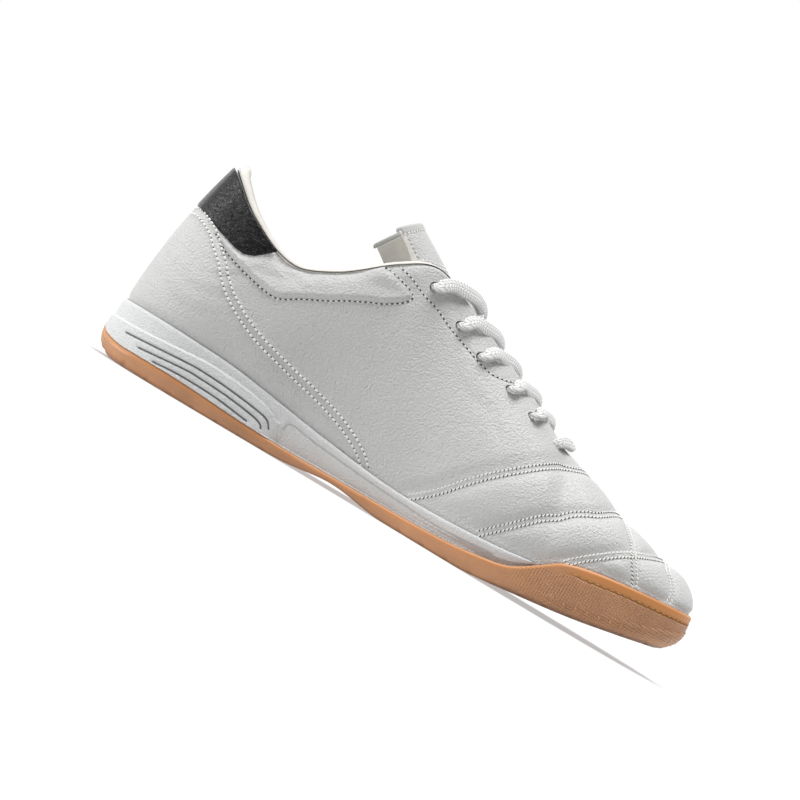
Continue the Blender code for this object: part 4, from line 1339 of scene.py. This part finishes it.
def eyelet_at(number, side):
    way, share = CHART.find(*EYELETS[number])
    return (way if side < 0 else 2 - way), share


def punch_eyelets(made, sizes):
    """Cuts the round eyelets through the leather."""
    mesh = eyelet_discs("eyelet_punch", sizes.eyelet / 2, 14 * MM, 0)
    punch = bpy.data.objects.new("eyelet_punch", mesh)
    bpy.context.scene.collection.objects.link(punch)
    cut = made.modifiers.new("eyelets", "BOOLEAN")
    cut.operation = "DIFFERENCE"
    cut.object = punch
    settle(made)
    bpy.data.objects.remove(punch)
    made.data.set_sharp_from_angle(angle=math.radians(50))


def collar_way(x):
    """The way on the collar whose top lies this far along."""
    ways = np.linspace(0, THROAT_WAY, 2000)
    return float(ways[np.argmin(np.abs(top_edge(ways)[:, 0] - x))])


def make_heel_tab():
    """The black leather tab over the back of the collar, with a folded edge."""
    end = collar_way(TAB_REACH)
    count, levels = 150, 46
    way = np.linspace(-end, end, count)
    place = np.abs(way)
    edge = np.array(TAB_EDGE)
    shares = np.linspace(0.2, 1.0, 600)
    low = np.empty(count)
    for i, at in enumerate(place):
        spots = rib(np.full(600, at), shares) / MM
        under = spots[:, 2] < np.interp(spots[:, 0], edge[:, 0], edge[:, 1])
        low[i] = shares[np.nonzero(under)[0][-1]] if under.any() else 0.99
    low = np.minimum(low, 0.985)
    rows = []
    for k in range(levels):
        t = k / (levels - 1)
        share = low + (1.004 - low) * t
        rim = np.minimum(t * (1 - low) * 60, 1) * np.minimum((1 - t) * (1 - low) * 40 + 0.35, 1)
        thick = 0.35 + 0.75 * np.sqrt(np.clip(rim, 0, 1))
        share = np.minimum(share, 1)
        rows.append(rib(way, share) + normal_at(way, share) * (thick * MM)[:, None])
    made = link(mesh_of_rows("black_heel_tab", rows), material("tab"))
    face_out(made, (0.05, 0, 0.05))
    thicken(made, 0.9 * MM)
    settle(made)
    hand_in(made, "heel_tab", "heel_tab")


def make_lining(sizes):
    """The padded lining: up the inside, over the collar's edge as a soft roll."""
    end = collar_way(LINING_REACH)
    count = 260
    way = np.linspace(-end, end, count)
    full = np.ones(count)
    place = np.abs(way)
    wall = sizes.upper_wall
    deep = sizes.lining_roll
    rise = (1.2 + 0.9 * (1 - ease(place, 0.40, 0.47)) + 2.4 * (1 - ease(place, 0.02, 0.26))) * MM
    top = rib(way, full)
    up = unit(top - rib(way, full * 0.94))
    out = normal_at(way, full)
    fade = 1 - ease(place, end - 0.05, end) * 0.55
    rows = []
    long = np.linalg.norm(rib(way, full) - rib(way, full * 0), axis=1)
    for k in range(10):
        share = 1 - (LINING_DEPTH / long) * (1 - k / 9)
        rows.append(rib(way, share) - normal_at(way, share) * (wall + 0.25 * MM))
    for k in range(15):
        turn = math.pi * k / 14
        across = wall * 0.75 + (deep * fade / 2) * (1 - math.cos(turn))
        lift = math.sin(turn) ** 0.8 * (rise + 0.2 * MM)
        rows.append(top - out * across[:, None] + up * lift[:, None])
    for k in range(1, 12):
        share = 1 - (LINING_DEPTH / long) * (k / 11)
        pad = wall * 0.75 + deep * fade * (1 + 0.5 * math.sin(math.pi * k / 11))
        pad = pad * (1 - ease(full * (k / 11.0), 0.8, 1.0) * 0.35)
        rows.append(rib(way, share) - normal_at(way, share) * pad[:, None])
    made = link(mesh_of_rows("collar_padding", rows), material("lining"))
    close_ends(made)
    hand_in(made, "lining", "collar_lining")
    # Painted shadow: a thin dark strip along the collar's top, where the gap between the leather
    # and the lining roll lies in shade.
    line = rib(way, full) + normal_at(way, full) * (-1.1 * MM) + up * 0.25 * MM
    gap = sew_strip("topline_shadow_strip", line, up, 0.36 * MM, 0.5 * MM, "hole")
    hand_in(gap, "lining")


def sew_strip(name, line, up, high, wide, finish):
    """A thin closed strip along a line."""
    out = unit(np.cross(np.gradient(line, axis=0), up))
    corners = ((-0.5, -0.5), (0.5, -0.5), (0.5, 0.5), (-0.5, 0.5))
    rows = np.array([line + out * a * wide + up * b * high for a, b in corners]).transpose(1, 0, 2)
    made = link(mesh_of_rows(name, rows, True), material(finish))
    close_ends(made)
    return made


def close_ends(made):
    """Fills a soft piece's open borders and faces it outwards."""
    with reshaped(made.data) as shape:
        borders = [edge for edge in shape.edges if edge.is_boundary]
        bmesh.ops.holes_fill(shape, edges=borders, sides=0)
        bmesh.ops.triangulate(shape, faces=[f for f in shape.faces if len(f.verts) > 4])
        bmesh.ops.recalc_face_normals(shape, faces=shape.faces)


def tongue_squeeze(spots):
    """How far the flaps press the tongue's sides in, in millimetres, ahead of the collar."""
    x = spots[..., 0]
    off = np.abs(spots[..., 1] - ridge_across(x)) / MM
    return 0.4 * ease(off, 8, 14) * ease(x / MM, 106, 122)


def tongue_wall(along):
    """The tongue's thickness: padded, and pressed flat towards its bound end."""
    return TONGUE_WALL * (1 - 0.55 * ease(along, 0.86, 0.97)) * (0.6 + 0.4 * ease(along, 0, 0.1))


def make_tongue():
    """The padded tongue: leather outside, cloth inside and along its turned edges."""
    along = np.linspace(0, 0.994, 120)
    count = 72
    turns = TONGUE_ARCH * np.sin(np.linspace(-math.pi / 2, math.pi / 2, count))
    plump = np.sqrt(np.clip(1 - (np.abs(turns) / TONGUE_ARCH) ** 8, 0, 1))
    rows = []
    for place in along:
        at = np.full(count, place)
        outer = tongue_spot(at, turns)
        press = tongue_squeeze(outer) * MM
        wall = tongue_wall(place)
        edge = (1 - plump) * wall / 2
        seam = 0.35 * MM * np.exp(-((np.abs(turns) / TONGUE_ARCH - 0.90) / 0.025) ** 2)
        outer = tongue_spot(at, turns, press + edge + seam)
        inner = tongue_spot(at, turns, press + wall - edge)
        rows.append(np.concatenate([outer, inner[::-1][1:-1]]))
    made = link(mesh_of_rows("padded_tongue", rows, True), material("leather"))
    made.data.materials.append(material("lining"))
    close_ends(made)
    cloth = np.abs(turns) > TONGUE_ARCH * 0.93
    for face in made.data.polygons:
        column = face.index % (2 * count - 2)
        outside = column < count - 1
        soft = not outside or cloth[min(column, count - 1)]
        face.material_index = int(soft)
    made.data.shade_smooth()
    hand_in(made, "upper", "tongue")
    bind_tongue()


def bind_tongue():
    """The grey tape folded over the tongue's top end."""
    turns = np.linspace(-TONGUE_ARCH, TONGUE_ARCH, 64)
    full = np.ones(64)
    thick = tongue_wall(1.0)
    low, high = 0.980, 0.996
    tape = 0.35 * MM
    rows = [tongue_spot(full * (low - 0.001), turns, 0.1 * MM)]
    for k in range(7):
        rows.append(tongue_spot(full * (low + (high - low) * k / 6), turns, -tape))
    tip = tongue_spot(full * high, turns, thick / 2)
    ahead = unit(tip - tongue_spot(full * 0.96, turns, thick / 2))
    under = unit(tongue_spot(full * high, turns, thick) - tip)
    half = thick / 2 + tape
    for k in range(1, 8):
        turn = math.pi * k / 8
        rows.append(tip - under * half * math.cos(turn) + ahead * half * math.sin(turn))
    for k in range(6):
        rows.append(tongue_spot(full * (high - 0.004 * k / 5), turns, thick + tape))
    rows.append(tongue_spot(full * (high - 0.005), turns, thick * 0.9))
    made = link(mesh_of_rows("tongue_binding", rows), material("binding"))
    close_ends(made)
    hand_in(made, "upper")


def make_insole(sizes):
    """The thin cloth-topped insole on the foot bed."""
    way = round_ways(260)
    centre = spine(way)
    inset = RIM_WALL + sizes.upper_wall + 1.2 * MM
    edge = ring(way, inset, 0)
    low = sole_at(edge[:, 0], 3) + CLEARANCE
    rows = [point(centre[:, 0], centre[:, 1], sole_at(centre[:, 0], 3) + CLEARANCE)]
    rows.append(point(edge[:, 0], edge[:, 1], low))
    rows.append(point(edge[:, 0], edge[:, 1], low + 2.4 * MM))
    soft = ring(way, inset + 1.2 * MM, 0)
    rows.append(point(soft[:, 0], soft[:, 1], sole_at(soft[:, 0], 3) + 3.4 * MM))
    for k in range(1, 7):
        spots = soft * (1 - k / 6) + centre * (k / 6)
        dish = 0.3 * MM * math.sin(math.pi / 2 * k / 6)
        rows.append(point(spots[:, 0], spots[:, 1], sole_at(spots[:, 0], 3) + 3.5 * MM - dish))
    made = link(mesh_of_rows("cloth_insole", rows, True), material("lining"))
    face_out(made, (0, 0, 0.016))
    hand_in(made, "insole", "insole")


def smooth_path(spots, step):
    """A smooth even path through points, with an index that tells the original knots."""
    spots = np.asarray(spots, float)
    gaps = np.linalg.norm(np.diff(spots, axis=0), axis=1)
    knots = np.concatenate([[0], np.cumsum(gaps)])
    fine = np.linspace(0, knots[-1], 400)
    lines = [smooth(list(zip(knots, spots[:, c])), fine) for c in range(3)]
    path = np.stack(lines, axis=1)
    far = np.concatenate([[0], np.cumsum(np.linalg.norm(np.diff(path, axis=0), axis=1))])
    at = np.linspace(0, far[-1], int(far[-1] / step) + 1)
    path = np.stack([np.interp(at, far, path[:, c]) for c in range(3)], axis=1)
    knot_at = np.interp(at, far, fine)
    return path, knot_at, knots, at


def band_rows(route, tops, widths, thicks):
    """Rings of a soft flat band along a route, the side of each column, and the run's length."""
    path, knot_at, knots, far = smooth_path(route, 0.5 * MM)
    top = np.stack([np.interp(knot_at, knots, np.array(tops)[:, c]) for c in range(3)], axis=1)
    width = np.interp(knot_at, knots, widths)
    thick = np.interp(knot_at, knots, thicks)
    run = unit(np.gradient(path, axis=0))
    across = unit(np.cross(run, top))
    top = unit(np.cross(across, run))
    rings, sides = [], []
    for k in range(BAND_SIDES + 1):
        turn = 2 * math.pi * k / BAND_SIDES
        c, s = math.cos(turn), math.sin(turn)
        u = math.copysign(abs(c) ** 0.75, c)
        v = math.copysign(abs(s) ** 0.8, s)
        rings.append(path + across * (u * width / 2)[:, None] + top * (v * thick / 2)[:, None])
        sides.append(u)
    return np.array(rings).transpose(1, 0, 2), np.array(sides), far


def make_laces(sizes):
    """The lace: crossings over the tongue, each strand over the near flap to its eyelet."""
    width, thick = sizes.lace_width, sizes.lace_thickness
    bands = [
        lace_strand(number, side, width, thick, sizes)
        for number in range(len(EYELETS) - 1)
        for side in (-1, 1)
    ]
    bands.append(lace_bar(width, thick, sizes))
    spots, faces, flat = [], [], []
    for rings, sides, far in bands:
        base = len(spots)
        for ring_spots in rings:
            spots.extend((x - LENGTH / 2, y, z) for x, y, z in ring_spots[:-1])
        for low in range(len(rings) - 1):
            for k in range(BAND_SIDES):
                j = (k + 1) % BAND_SIDES
                a, b = base + low * BAND_SIDES, base + (low + 1) * BAND_SIDES
                faces.append((a + k, a + j, b + j, b + k))
                flat.extend([(sides[k], far[low]), (sides[k + 1], far[low]),
                             (sides[k + 1], far[low + 1]), (sides[k], far[low + 1])])
        for low in (0, len(rings) - 1):
            faces.append(tuple(base + low * BAND_SIDES + k for k in range(BAND_SIDES)))
            flat.extend([(0, far[low])] * BAND_SIDES)
    mesh = bpy.data.meshes.new("braided_lace")
    mesh.from_pydata(spots, [], faces)
    layer = mesh.uv_layers.new(name="surface")
    layer.data.foreach_set("uv", np.asarray(flat, np.float32).reshape(-1))
    with reshaped(mesh) as shape:
        bmesh.ops.recalc_face_normals(shape, faces=shape.faces)
    mesh.shade_smooth()
    made = link(mesh, material("lace"))
    nodes = [f"lace_crossing_{k + 1}" for k in range(len(EYELETS) - 1)] + ["lace_bar"]
    hand_in(made, "laces", *nodes)


THROAT_UP = unit(np.array([0.40, 0.0, 0.92]))
BAND_SIDES = 32
# How far forward of its eyelet each crossing dives, and how high it stands.
CROSSINGS = [
    # reach in millimetres, and how high it rises beside the longest one
    (25.4, 1.12),
    (21.3, 1.0),
    (19.3, 0.9),
    (14.8, 0.72),
    (10.2, 0.52),
]


def edge_spot(x, side):
    """The point of the flap's edge this far along, in millimetres, on one side."""
    ways = np.linspace(0.3, THROAT_WAY, 600)
    at = ways[np.argmin(np.abs(top_edge(ways)[:, 0] - x * MM))]
    return top_edge(at if side < 0 else 2 - at)


def lace_strand(number, side, width, thick, sizes):
    """Out of its eyelet, over the near flap and the tongue, then under the far flap."""
    way, share = eyelet_at(number, side)
    x, z = EYELETS[number]
    reach, rise = CROSSINGS[number]
    hole, out = rib(way, share), normal_at(way, share)
    forward = unit(np.array([0.86, 0.0, 0.51]))
    near = np.array([0.0, side, 0.0])
    low = 0.0 if side < 0 else 2.6

    def over(part, height, lean):
        """A point over the throat: lean 1 above the near flap's edge, 0 above the ridge."""
        at = x + part * reach
        edge = edge_spot(at, side)
        middle = ridge_across(at * MM)
        return np.array([at * MM, middle + (edge[1] - middle) * lean, (z + height * rise) * MM])

    lap = CHART.find(x + 0.22 * reach, z + 3.3 * rise)
    lap_way, lap_share = (lap[0] if side < 0 else 2 - lap[0]), lap[1]
    lap_out = normal_at(lap_way, lap_share)
    lap_spot = laid_down(rib(lap_way, lap_share)[None], lap_out[None])[0]
    sink = THROAT_UP * low * MM
    dive = edge_spot(x + 1.02 * reach, -side)
    route = [
        hole - out * 4.2 * MM + forward * 0.5 * MM,
        hole - out * 1.0 * MM + forward * 0.8 * MM,
        hole + out * thick * 0.42 + forward * 2.1 * MM,
        lap_spot + lap_out * thick * 0.55,
        over(0.48, 4.7, 1.0) + near * 1.2 * MM - sink * 0.2,
        over(0.70, 4.2, 0.62) - sink * 0.8,
        over(0.86, 2.2, 0.20) - sink,
        over(0.95, -0.6, -0.25) - sink * 0.6,
        dive - THROAT_UP * 5.5 * MM - near * -2.0 * MM,
    ]
    up = np.array([-0.51, 0.0, 0.86])
    tops = [
        unit(forward + out * 0.2), unit(out + forward * 0.5 + up * 0.3), unit(out + up * 0.4),
        unit(lap_out + up * 0.3), unit(near + THROAT_UP * 0.6), unit(near + THROAT_UP * 0.75),
        unit(near + THROAT_UP * 0.3 + forward * 0.9), unit(near * 0.8 + forward * 1.2),
        unit(forward + near * 0.4),
    ]
    wide = sizes.eyelet * 0.84
    full = width * (0.93 if number < 3 else 0.88)
    widths = [wide, wide, full * 0.92, full, full, full, full, full * 0.9, full * 0.8]
    thicks = [thick * share for share in (0.9, 0.95, 1.2, 1.2, 1.15, 1.2, 1.2, 1.0, 0.8)]
    return band_rows(route, tops, widths, thicks)


def lace_bar(width, thick, sizes):
    """The lowest run of the lace: straight across, into the lowest pair of eyelets."""
    route, tops, widths = [], [], []
    flat = thick / 2
    number = len(EYELETS) - 1
    for side in (-1, 1):
        way, share = eyelet_at(number, side)
        hole = rib(way, share)
        out = normal_at(way, share)
        edge = edge_spot(EYELETS[number][0] + 4.0, side)
        back = unit(hole - edge)
        ahead = unit(edge - hole)
        steps = [
            # place, the way its wide face looks, width
            (hole - out * 4 * MM, back, sizes.eyelet * 0.8),
            (hole - out * 1.2 * MM - ahead * 0.4 * MM, unit(out + back), sizes.eyelet * 0.82),
            (hole + out * flat * 0.9 + ahead * 1.3 * MM, out, width * 0.7),
            (edge * 0.5 + hole * 0.5 + out * (flat + 1.1 * MM), normal_at(way, 0.9), width * 0.85),
            (edge + unit(out + THROAT_UP) * (flat + 0.6 * MM), THROAT_UP, width * 0.95),
        ]
        if side > 0:
            steps.reverse()
            middle = (route[-1] + steps[0][0]) / 2 + THROAT_UP * 0.8 * MM
            steps.insert(0, (middle, THROAT_UP, width))
        for spot, top, wide in steps:
            route.append(spot)
            tops.append(top)
            widths.append(wide)
    return band_rows(route, tops, widths, [thick] * len(route))


def stitch_tree():
    """Geometry Nodes: threads or holes laid along sewn lines, at an even pitch."""
    tree = bpy.data.node_groups.new("sewn_line", "GeometryNodeTree")
    face = tree.interface
    face.new_socket("Geometry", in_out="INPUT", socket_type="NodeSocketGeometry")
    for name in ("Pitch", "Length", "Thickness", "Flatness", "Slant"):
        face.new_socket(name, in_out="INPUT", socket_type="NodeSocketFloat")
    face.new_socket("Material", in_out="INPUT", socket_type="NodeSocketMaterial")
    face.new_socket("Geometry", in_out="OUTPUT", socket_type="NodeSocketGeometry")
    given = tree.nodes.new("NodeGroupInput").outputs
    curve = node(tree, "GeometryNodeMeshToCurve", None, Mesh=given["Geometry"])
    even = node(tree, "GeometryNodeResampleCurve", {"mode": "LENGTH"},
                Curve=curve.outputs["Curve"], Length=given["Pitch"])
    out = node(tree, "GeometryNodeInputNamedAttribute", {"data_type": "FLOAT_VECTOR"}, Name="out")
    run = tree.nodes.new("GeometryNodeInputTangent").outputs[0]
    first = node(tree, "FunctionNodeAlignRotationToVector", {"axis": "X"}, Vector=run)
    second = node(tree, "FunctionNodeAlignRotationToVector", {"axis": "Z", "pivot_axis": "X"},
                  Rotation=first.outputs[0], Vector=out.outputs["Attribute"])
    size = node(tree, "ShaderNodeCombineXYZ", None, X=given["Length"], Y=given["Thickness"],
                Z=given["Flatness"])
    bead = node(tree, "GeometryNodeMeshUVSphere", None, Segments=8, Rings=5, Radius=0.5)
    slant = node(tree, "ShaderNodeCombineXYZ", None, Z=given["Slant"])
    shaped = node(tree, "GeometryNodeTransform", None, Geometry=bead.outputs["Mesh"],
                  Scale=size.outputs[0])
    turned = node(tree, "GeometryNodeTransform", None, Geometry=shaped.outputs[0],
                  Rotation=slant.outputs[0])
    laid = node(tree, "GeometryNodeInstanceOnPoints", None, Points=even.outputs["Curve"],
                Instance=turned.outputs[0], Rotation=second.outputs[0])
    real = node(tree, "GeometryNodeRealizeInstances", None, Geometry=laid.outputs[0])
    dressed = node(tree, "GeometryNodeSetMaterial", None, Geometry=real.outputs[0],
                   Material=given["Material"])
    smooth_faces = node(tree, "GeometryNodeSetShadeSmooth", None, Geometry=dressed.outputs[0])
    tree.nodes.new("NodeGroupOutput")
    tree.links.new(smooth_faces.outputs[0], tree.nodes["Group Output"].inputs[0])
    return tree


def sew(name, tree, lines, finish, pitch, long, thick, flat, slant=0.0):
    """Runs the sewing tree over lines of (points, outward directions) and keeps the mesh."""
    spots, edges, outs = [], [], []
    for on, out in lines:
        base = len(spots)
        spots.extend((p[0] - LENGTH / 2, p[1], p[2]) for p in on)
        outs.extend(out)
        edges.extend((base + i, base + i + 1) for i in range(len(on) - 1))
    mesh = bpy.data.meshes.new(name)
    mesh.from_pydata(spots, edges, [])
    layer = mesh.attributes.new("out", "FLOAT_VECTOR", "POINT")
    layer.data.foreach_set("vector", np.asarray(outs, np.float32).reshape(-1))
    made = bpy.data.objects.new(name, mesh)
    bpy.context.scene.collection.objects.link(made)
    sewing = made.modifiers.new("sewing", "NODES")
    sewing.node_group = tree
    values = {"Pitch": pitch, "Length": long, "Thickness": thick, "Flatness": flat,
              "Slant": slant, "Material": material(finish)}
    for item in tree.interface.items_tree:
        if item.in_out == "INPUT" and item.name in values:
            sewing[item.identifier] = values[item.name]
    settle(made)
    return made


def beside(way, share, across):
    """The way and share of a line a distance to the left of a charted one."""
    step = 0.002
    _, _, _, left = line_frame(way, share)
    low, high = np.maximum(share - step, 0), np.minimum(share + step, 1)
    round_run = (rib(way + step, share) - rib(way - step, share)) / (2 * step)
    up_run = (rib(way, high) - rib(way, low)) / (high - low)[:, None]
    aa, bb = (round_run**2).sum(1), (up_run**2).sum(1)
    ab = (round_run * up_run).sum(1)
    a, b = (left * round_run).sum(1) * across, (left * up_run).sum(1) * across
    scale = np.maximum(aa * bb - ab * ab, 1e-12)
    return way + (a * bb - b * ab) / scale, np.clip(share + (b * aa - a * ab) / scale, 0, 1)


def offset_line(way, share, across, lift):
    """A line beside a charted one, on the finished leather."""
    if across:
        way, share = beside(way, share, across)
    spots, out, _, _ = line_frame(way, share)
    return laid_down(spots, out) + out * lift, out


def make_stitches(sizes, tree):
    """Every sewn row: threads, and dark beads of painted shade for the needle holes between them.
    """
    pitch = sizes.stitch_pitch
    thread = sizes.thread
    double, single, quilt = [], [], []
    for side in (-1, 1):
        counter = chart_line(COUNTER_SEAM, None, side)
        for across in (-1.6 * MM, 1.6 * MM):
            double.append(offset_line(*counter, across, 0.16 * MM))
        for seam in (COLLAR_SEAM, EYESTAY_SEAM):
            single.append(offset_line(*chart_line(seam, None, side), 0, 0.10 * MM))
        for spots, ridge in QUILTING:
            line = chart_line(spots, ridge, side)
            for across in (-1.2 * MM, 1.2 * MM):
                quilt.append(offset_line(*line, across, 0.10 * MM))
    tight = sizes.quilt_pitch
    rows = [
        # name, lines, material, pitch, then each bead's length, thickness, height and slant
        ("counter_thread", double, "thread", pitch, 1.95 * MM, thread * 1.9, thread * 1.7, 0.15),
        ("seam_thread", single, "thread", pitch, 1.3 * MM, thread * 1.35, thread * 1.0, 0.0),
        ("quilt_thread", quilt, "thread", tight, 2.0 * MM, thread * 1.5, thread * 1.5, 0.42),
        # The holes are dark beads: painted shade where the thread goes into the leather.
        ("counter_holes", [shifted(line, pitch / 2, -0.10 * MM) for line in double], "hole",
         pitch, 0.75 * MM, 0.62 * MM, 0.6 * MM, 0.0),
        ("seam_holes", [shifted(line, pitch / 2, -0.02 * MM) for line in single], "hole",
         pitch, 1.2 * MM, 0.68 * MM, 0.5 * MM, 0.0),
        ("quilt_holes", [shifted(line, tight / 2, -0.02 * MM) for line in quilt], "hole",
         tight, 1.3 * MM, 0.65 * MM, 0.6 * MM, 0.8),
    ]
    for name, lines, finish, gap, long, thick, flat, slant in rows:
        made = sew(name, tree, lines, finish, gap, long, thick, flat, slant)
        hand_in(made, "upper")


def shifted(line, start, lift):
    """The same line moved a little along itself, and lower."""
    on, out = line
    step = on[-1] - on[-2]
    skip = max(round(start / float(np.linalg.norm(step))), 1)
    tail = on[-1] + step * np.arange(1, skip + 1)[:, None]
    out = np.concatenate([out[skip:], np.repeat(out[-1:], skip, axis=0)])
    return np.concatenate([on[skip:], tail]) + out * lift, out


def make_small_threads(tree):
    """Thread in the rand's groove, and the sewing of the tongue."""
    place = np.linspace(0.70, 1.30, 420)
    height = smooth(RAND_GROOVE, folded(place)[0]) * MM
    on = ring(place, side_lean(height) + 0.30 * MM, height)
    rand = sew("rand_thread", tree, [(on, outward(place))], "gum_thread",
               3.4 * MM, 3.0 * MM, 0.6 * MM, 0.5 * MM)
    hand_in(rand, "outsole")
    marks = []
    for start, stop in ((0.715, 0.80), (1.20, 1.285)):
        place = np.linspace(start, stop, 120)
        height = sole_at(outline(place)[:, 0], 1) + 4.6 * MM
        marks.append((ring(place, side_lean(height) + 0.05 * MM, height), outward(place)))
    made = sew("rand_marks", tree, marks, "gum", 5.5 * MM, 1.0 * MM, 1.8 * MM, 0.7 * MM, 0.5)
    hand_in(made, "outsole")
    turns = np.linspace(-TONGUE_ARCH * 0.96, TONGUE_ARCH * 0.96, 160)
    full = np.ones(160)
    edges = np.linspace(0.60, 0.96, 160)
    curve = 0.875 - 0.061 * np.cos(turns * 1.2) ** 2
    runs = [
        # share along the tongue, turn round it, and how deep the thread lies
        (full * 0.978, turns, -0.25 * MM),
        (edges, full * (-TONGUE_ARCH * 0.90), -0.05 * MM),
        (edges, full * (TONGUE_ARCH * 0.90), -0.05 * MM),
        (curve, turns, -0.12 * MM),
        (curve + 0.017, turns, -0.12 * MM),
    ]
    lines = []
    for along, turn, sink in runs:
        spots = tongue_spot(along, turn, sink)
        lines.append((spots, unit(spots - tongue_spot(along, turn, 2 * MM))))
    made = sew("tongue_thread", tree, lines, "thread", 2.0 * MM, 1.7 * MM, 0.5 * MM, 0.45 * MM,
               0.5)
    hand_in(made, "upper")


def make_stage():
    """A pale floor, soft studio light and the camera at the photograph's angle."""
    bpy.ops.mesh.primitive_circle_add(vertices=96, radius=12, fill_type="NGON")
    floor = bpy.context.object
    floor.name = "floor"
    # The floor glows a little, as a light table does, so that the shoe's shadow stays pale.
    made, tree, shader = new_material("studio_floor", (0.42, 0.42, 0.42), 1.0, 0.0)
    shader.inputs["Emission Color"].default_value = (1, 1, 1, 1)
    shader.inputs["Emission Strength"].default_value = 0.40
    floor.data.materials.append(made)
    world = bpy.data.worlds.new("studio")
    bpy.context.scene.world = world
    world.use_nodes = True
    tree = world.node_tree
    # A bright sweep behind and above the shoe, and a dimmer room in front of it.
    way = node(tree, "ShaderNodeTexCoord").outputs["Generated"]
    facing = node(tree, "ShaderNodeVectorMath", {"operation": "DOT_PRODUCT"}, _0=way,
                  _1=Vector((-0.34, 0.83, 0.44)))
    level = node(tree, "ShaderNodeMapRange", {"interpolation_type": "SMOOTHSTEP"},
                 Value=facing.outputs["Value"], From_Min=-0.55, From_Max=0.82, To_Min=0.10,
                 To_Max=1.0)
    tree.links.new(level.outputs["Result"], tree.nodes["Background"].inputs["Strength"])
    tree.nodes["Background"].inputs["Color"].default_value = (1, 1, 1, 1)
    bpy.context.scene.view_settings.view_transform = "Standard"
    lights = [
        # name, direction it comes from, strength, softness in degrees
        ("key", Vector((0.0, -0.13, 0.98)), 2.7, 30),
        ("heel_light", Vector((-0.92, -0.20, 0.30)), 1.35, 12),
    ]
    for name, direction, strength, softness in lights:
        lamp = bpy.data.lights.new(name, "SUN")
        lamp.angle = math.radians(softness)
        lamp.energy = strength
        lamp.use_shadow = name == "key"
        made = bpy.data.objects.new(name, lamp)
        made.location = direction.normalized() * 2
        made.rotation_euler = direction.to_track_quat("Z", "Y").to_euler()
        bpy.context.scene.collection.objects.link(made)
    place_camera()


# The photograph's frame: 800 pixels across, the shoe rolled heel up.
PHOTO_ROLL = math.radians(30.8)
PHOTO_PIXELS = 800
MM_PER_PIXEL = 285 / 656
PHOTO_CENTRE = (292 * 285 / 656, 112.5 * 285 / 656)
CAMERA_DISTANCE = 2.6
CAMERA_ELEVATION = math.radians(0.4)


def place_camera():
    """A long lens square to the shoe's inner side, rolled as in the photograph."""
    lens = bpy.data.cameras.new("camera")
    lens.sensor_width = 36
    wide = PHOTO_PIXELS * MM_PER_PIXEL * MM
    lens.lens = 36 * CAMERA_DISTANCE / wide
    camera = bpy.data.objects.new("camera", lens)
    target = Vector((PHOTO_CENTRE[0] * MM - LENGTH / 2, 0, PHOTO_CENTRE[1] * MM))
    back = Vector((0, -math.cos(CAMERA_ELEVATION), math.sin(CAMERA_ELEVATION)))
    camera.location = target + back * CAMERA_DISTANCE
    level = (-back).to_track_quat("-Z", "Y").to_matrix()
    camera.rotation_euler = (level @ Matrix.Rotation(PHOTO_ROLL, 3, "Z")).to_euler()
    bpy.context.scene.collection.objects.link(camera)
    bpy.context.scene.camera = camera


class SHOE_OT_sole(bpy.types.Operator):
    """Builds the gum cup, the midsole and the insole"""

    bl_idname = "shoe.sole"
    bl_label = "Build sole"

    def execute(self, context):
        sizes = context.scene.shoe_sizes
        make_cup()
        make_midsole()
        make_insole(sizes)
        return {"FINISHED"}


class SHOE_OT_upper(bpy.types.Operator):
    """Builds the leather upper, the heel tab, the collar lining and the tongue"""

    bl_idname = "shoe.upper"
    bl_label = "Build upper"

    def execute(self, context):
        sizes = context.scene.shoe_sizes
        make_upper(sizes)
        make_heel_tab()
        make_lining(sizes)
        make_tongue()
        return {"FINISHED"}


class SHOE_OT_laces(bpy.types.Operator):
    """Threads the braided lace through the eyelets"""

    bl_idname = "shoe.laces"
    bl_label = "Build laces"

    def execute(self, context):
        make_laces(context.scene.shoe_sizes)
        return {"FINISHED"}


class SHOE_OT_stitches(bpy.types.Operator):
    """Sews the threads and needle holes along every seam"""

    bl_idname = "shoe.stitches"
    bl_label = "Sew stitches"

    def execute(self, context):
        tree = stitch_tree()
        make_stitches(context.scene.shoe_sizes, tree)
        make_small_threads(tree)
        return {"FINISHED"}


class SHOE_OT_stage(bpy.types.Operator):
    """Sets the floor, the lights and the camera"""

    bl_idname = "shoe.stage"
    bl_label = "Set stage"

    def execute(self, context):
        make_stage()
        return {"FINISHED"}


class SHOE_PT_panel(bpy.types.Panel):
    """Lists the shoe's builders, sizes and colours"""

    bl_idname = "SHOE_PT_panel"
    bl_label = "Indoor soccer shoe"
    bl_space_type = "VIEW_3D"
    bl_region_type = "UI"
    bl_category = "Shoe"

    def draw(self, context):
        for name in ("sole", "upper", "laces", "stitches", "stage"):
            self.layout.operator(f"shoe.{name}")
        for group in (context.scene.shoe_sizes, context.scene.shoe_colours):
            for name in group.bl_rna.properties.keys():
                if name not in ("rna_type", "name"):
                    self.layout.prop(group, name)


CLASSES = (
    ShoeSizes, ShoeColours, SHOE_OT_sole, SHOE_OT_upper, SHOE_OT_laces, SHOE_OT_stitches,
    SHOE_OT_stage, SHOE_PT_panel,
)


def register():
    for made in CLASSES:
        bpy.utils.register_class(made)
    bpy.types.Scene.shoe_sizes = bpy.props.PointerProperty(type=ShoeSizes)
    bpy.types.Scene.shoe_colours = bpy.props.PointerProperty(type=ShoeColours)


def unregister():
    del bpy.types.Scene.shoe_sizes
    del bpy.types.Scene.shoe_colours
    for made in reversed(CLASSES):
        bpy.utils.unregister_class(made)


def main():
    register()
    bpy.ops.shoe.sole()
    bpy.ops.shoe.upper()
    bpy.ops.shoe.laces()
    bpy.ops.shoe.stitches()
    bpy.ops.shoe.stage()


if __name__ == "__main__":
    main()
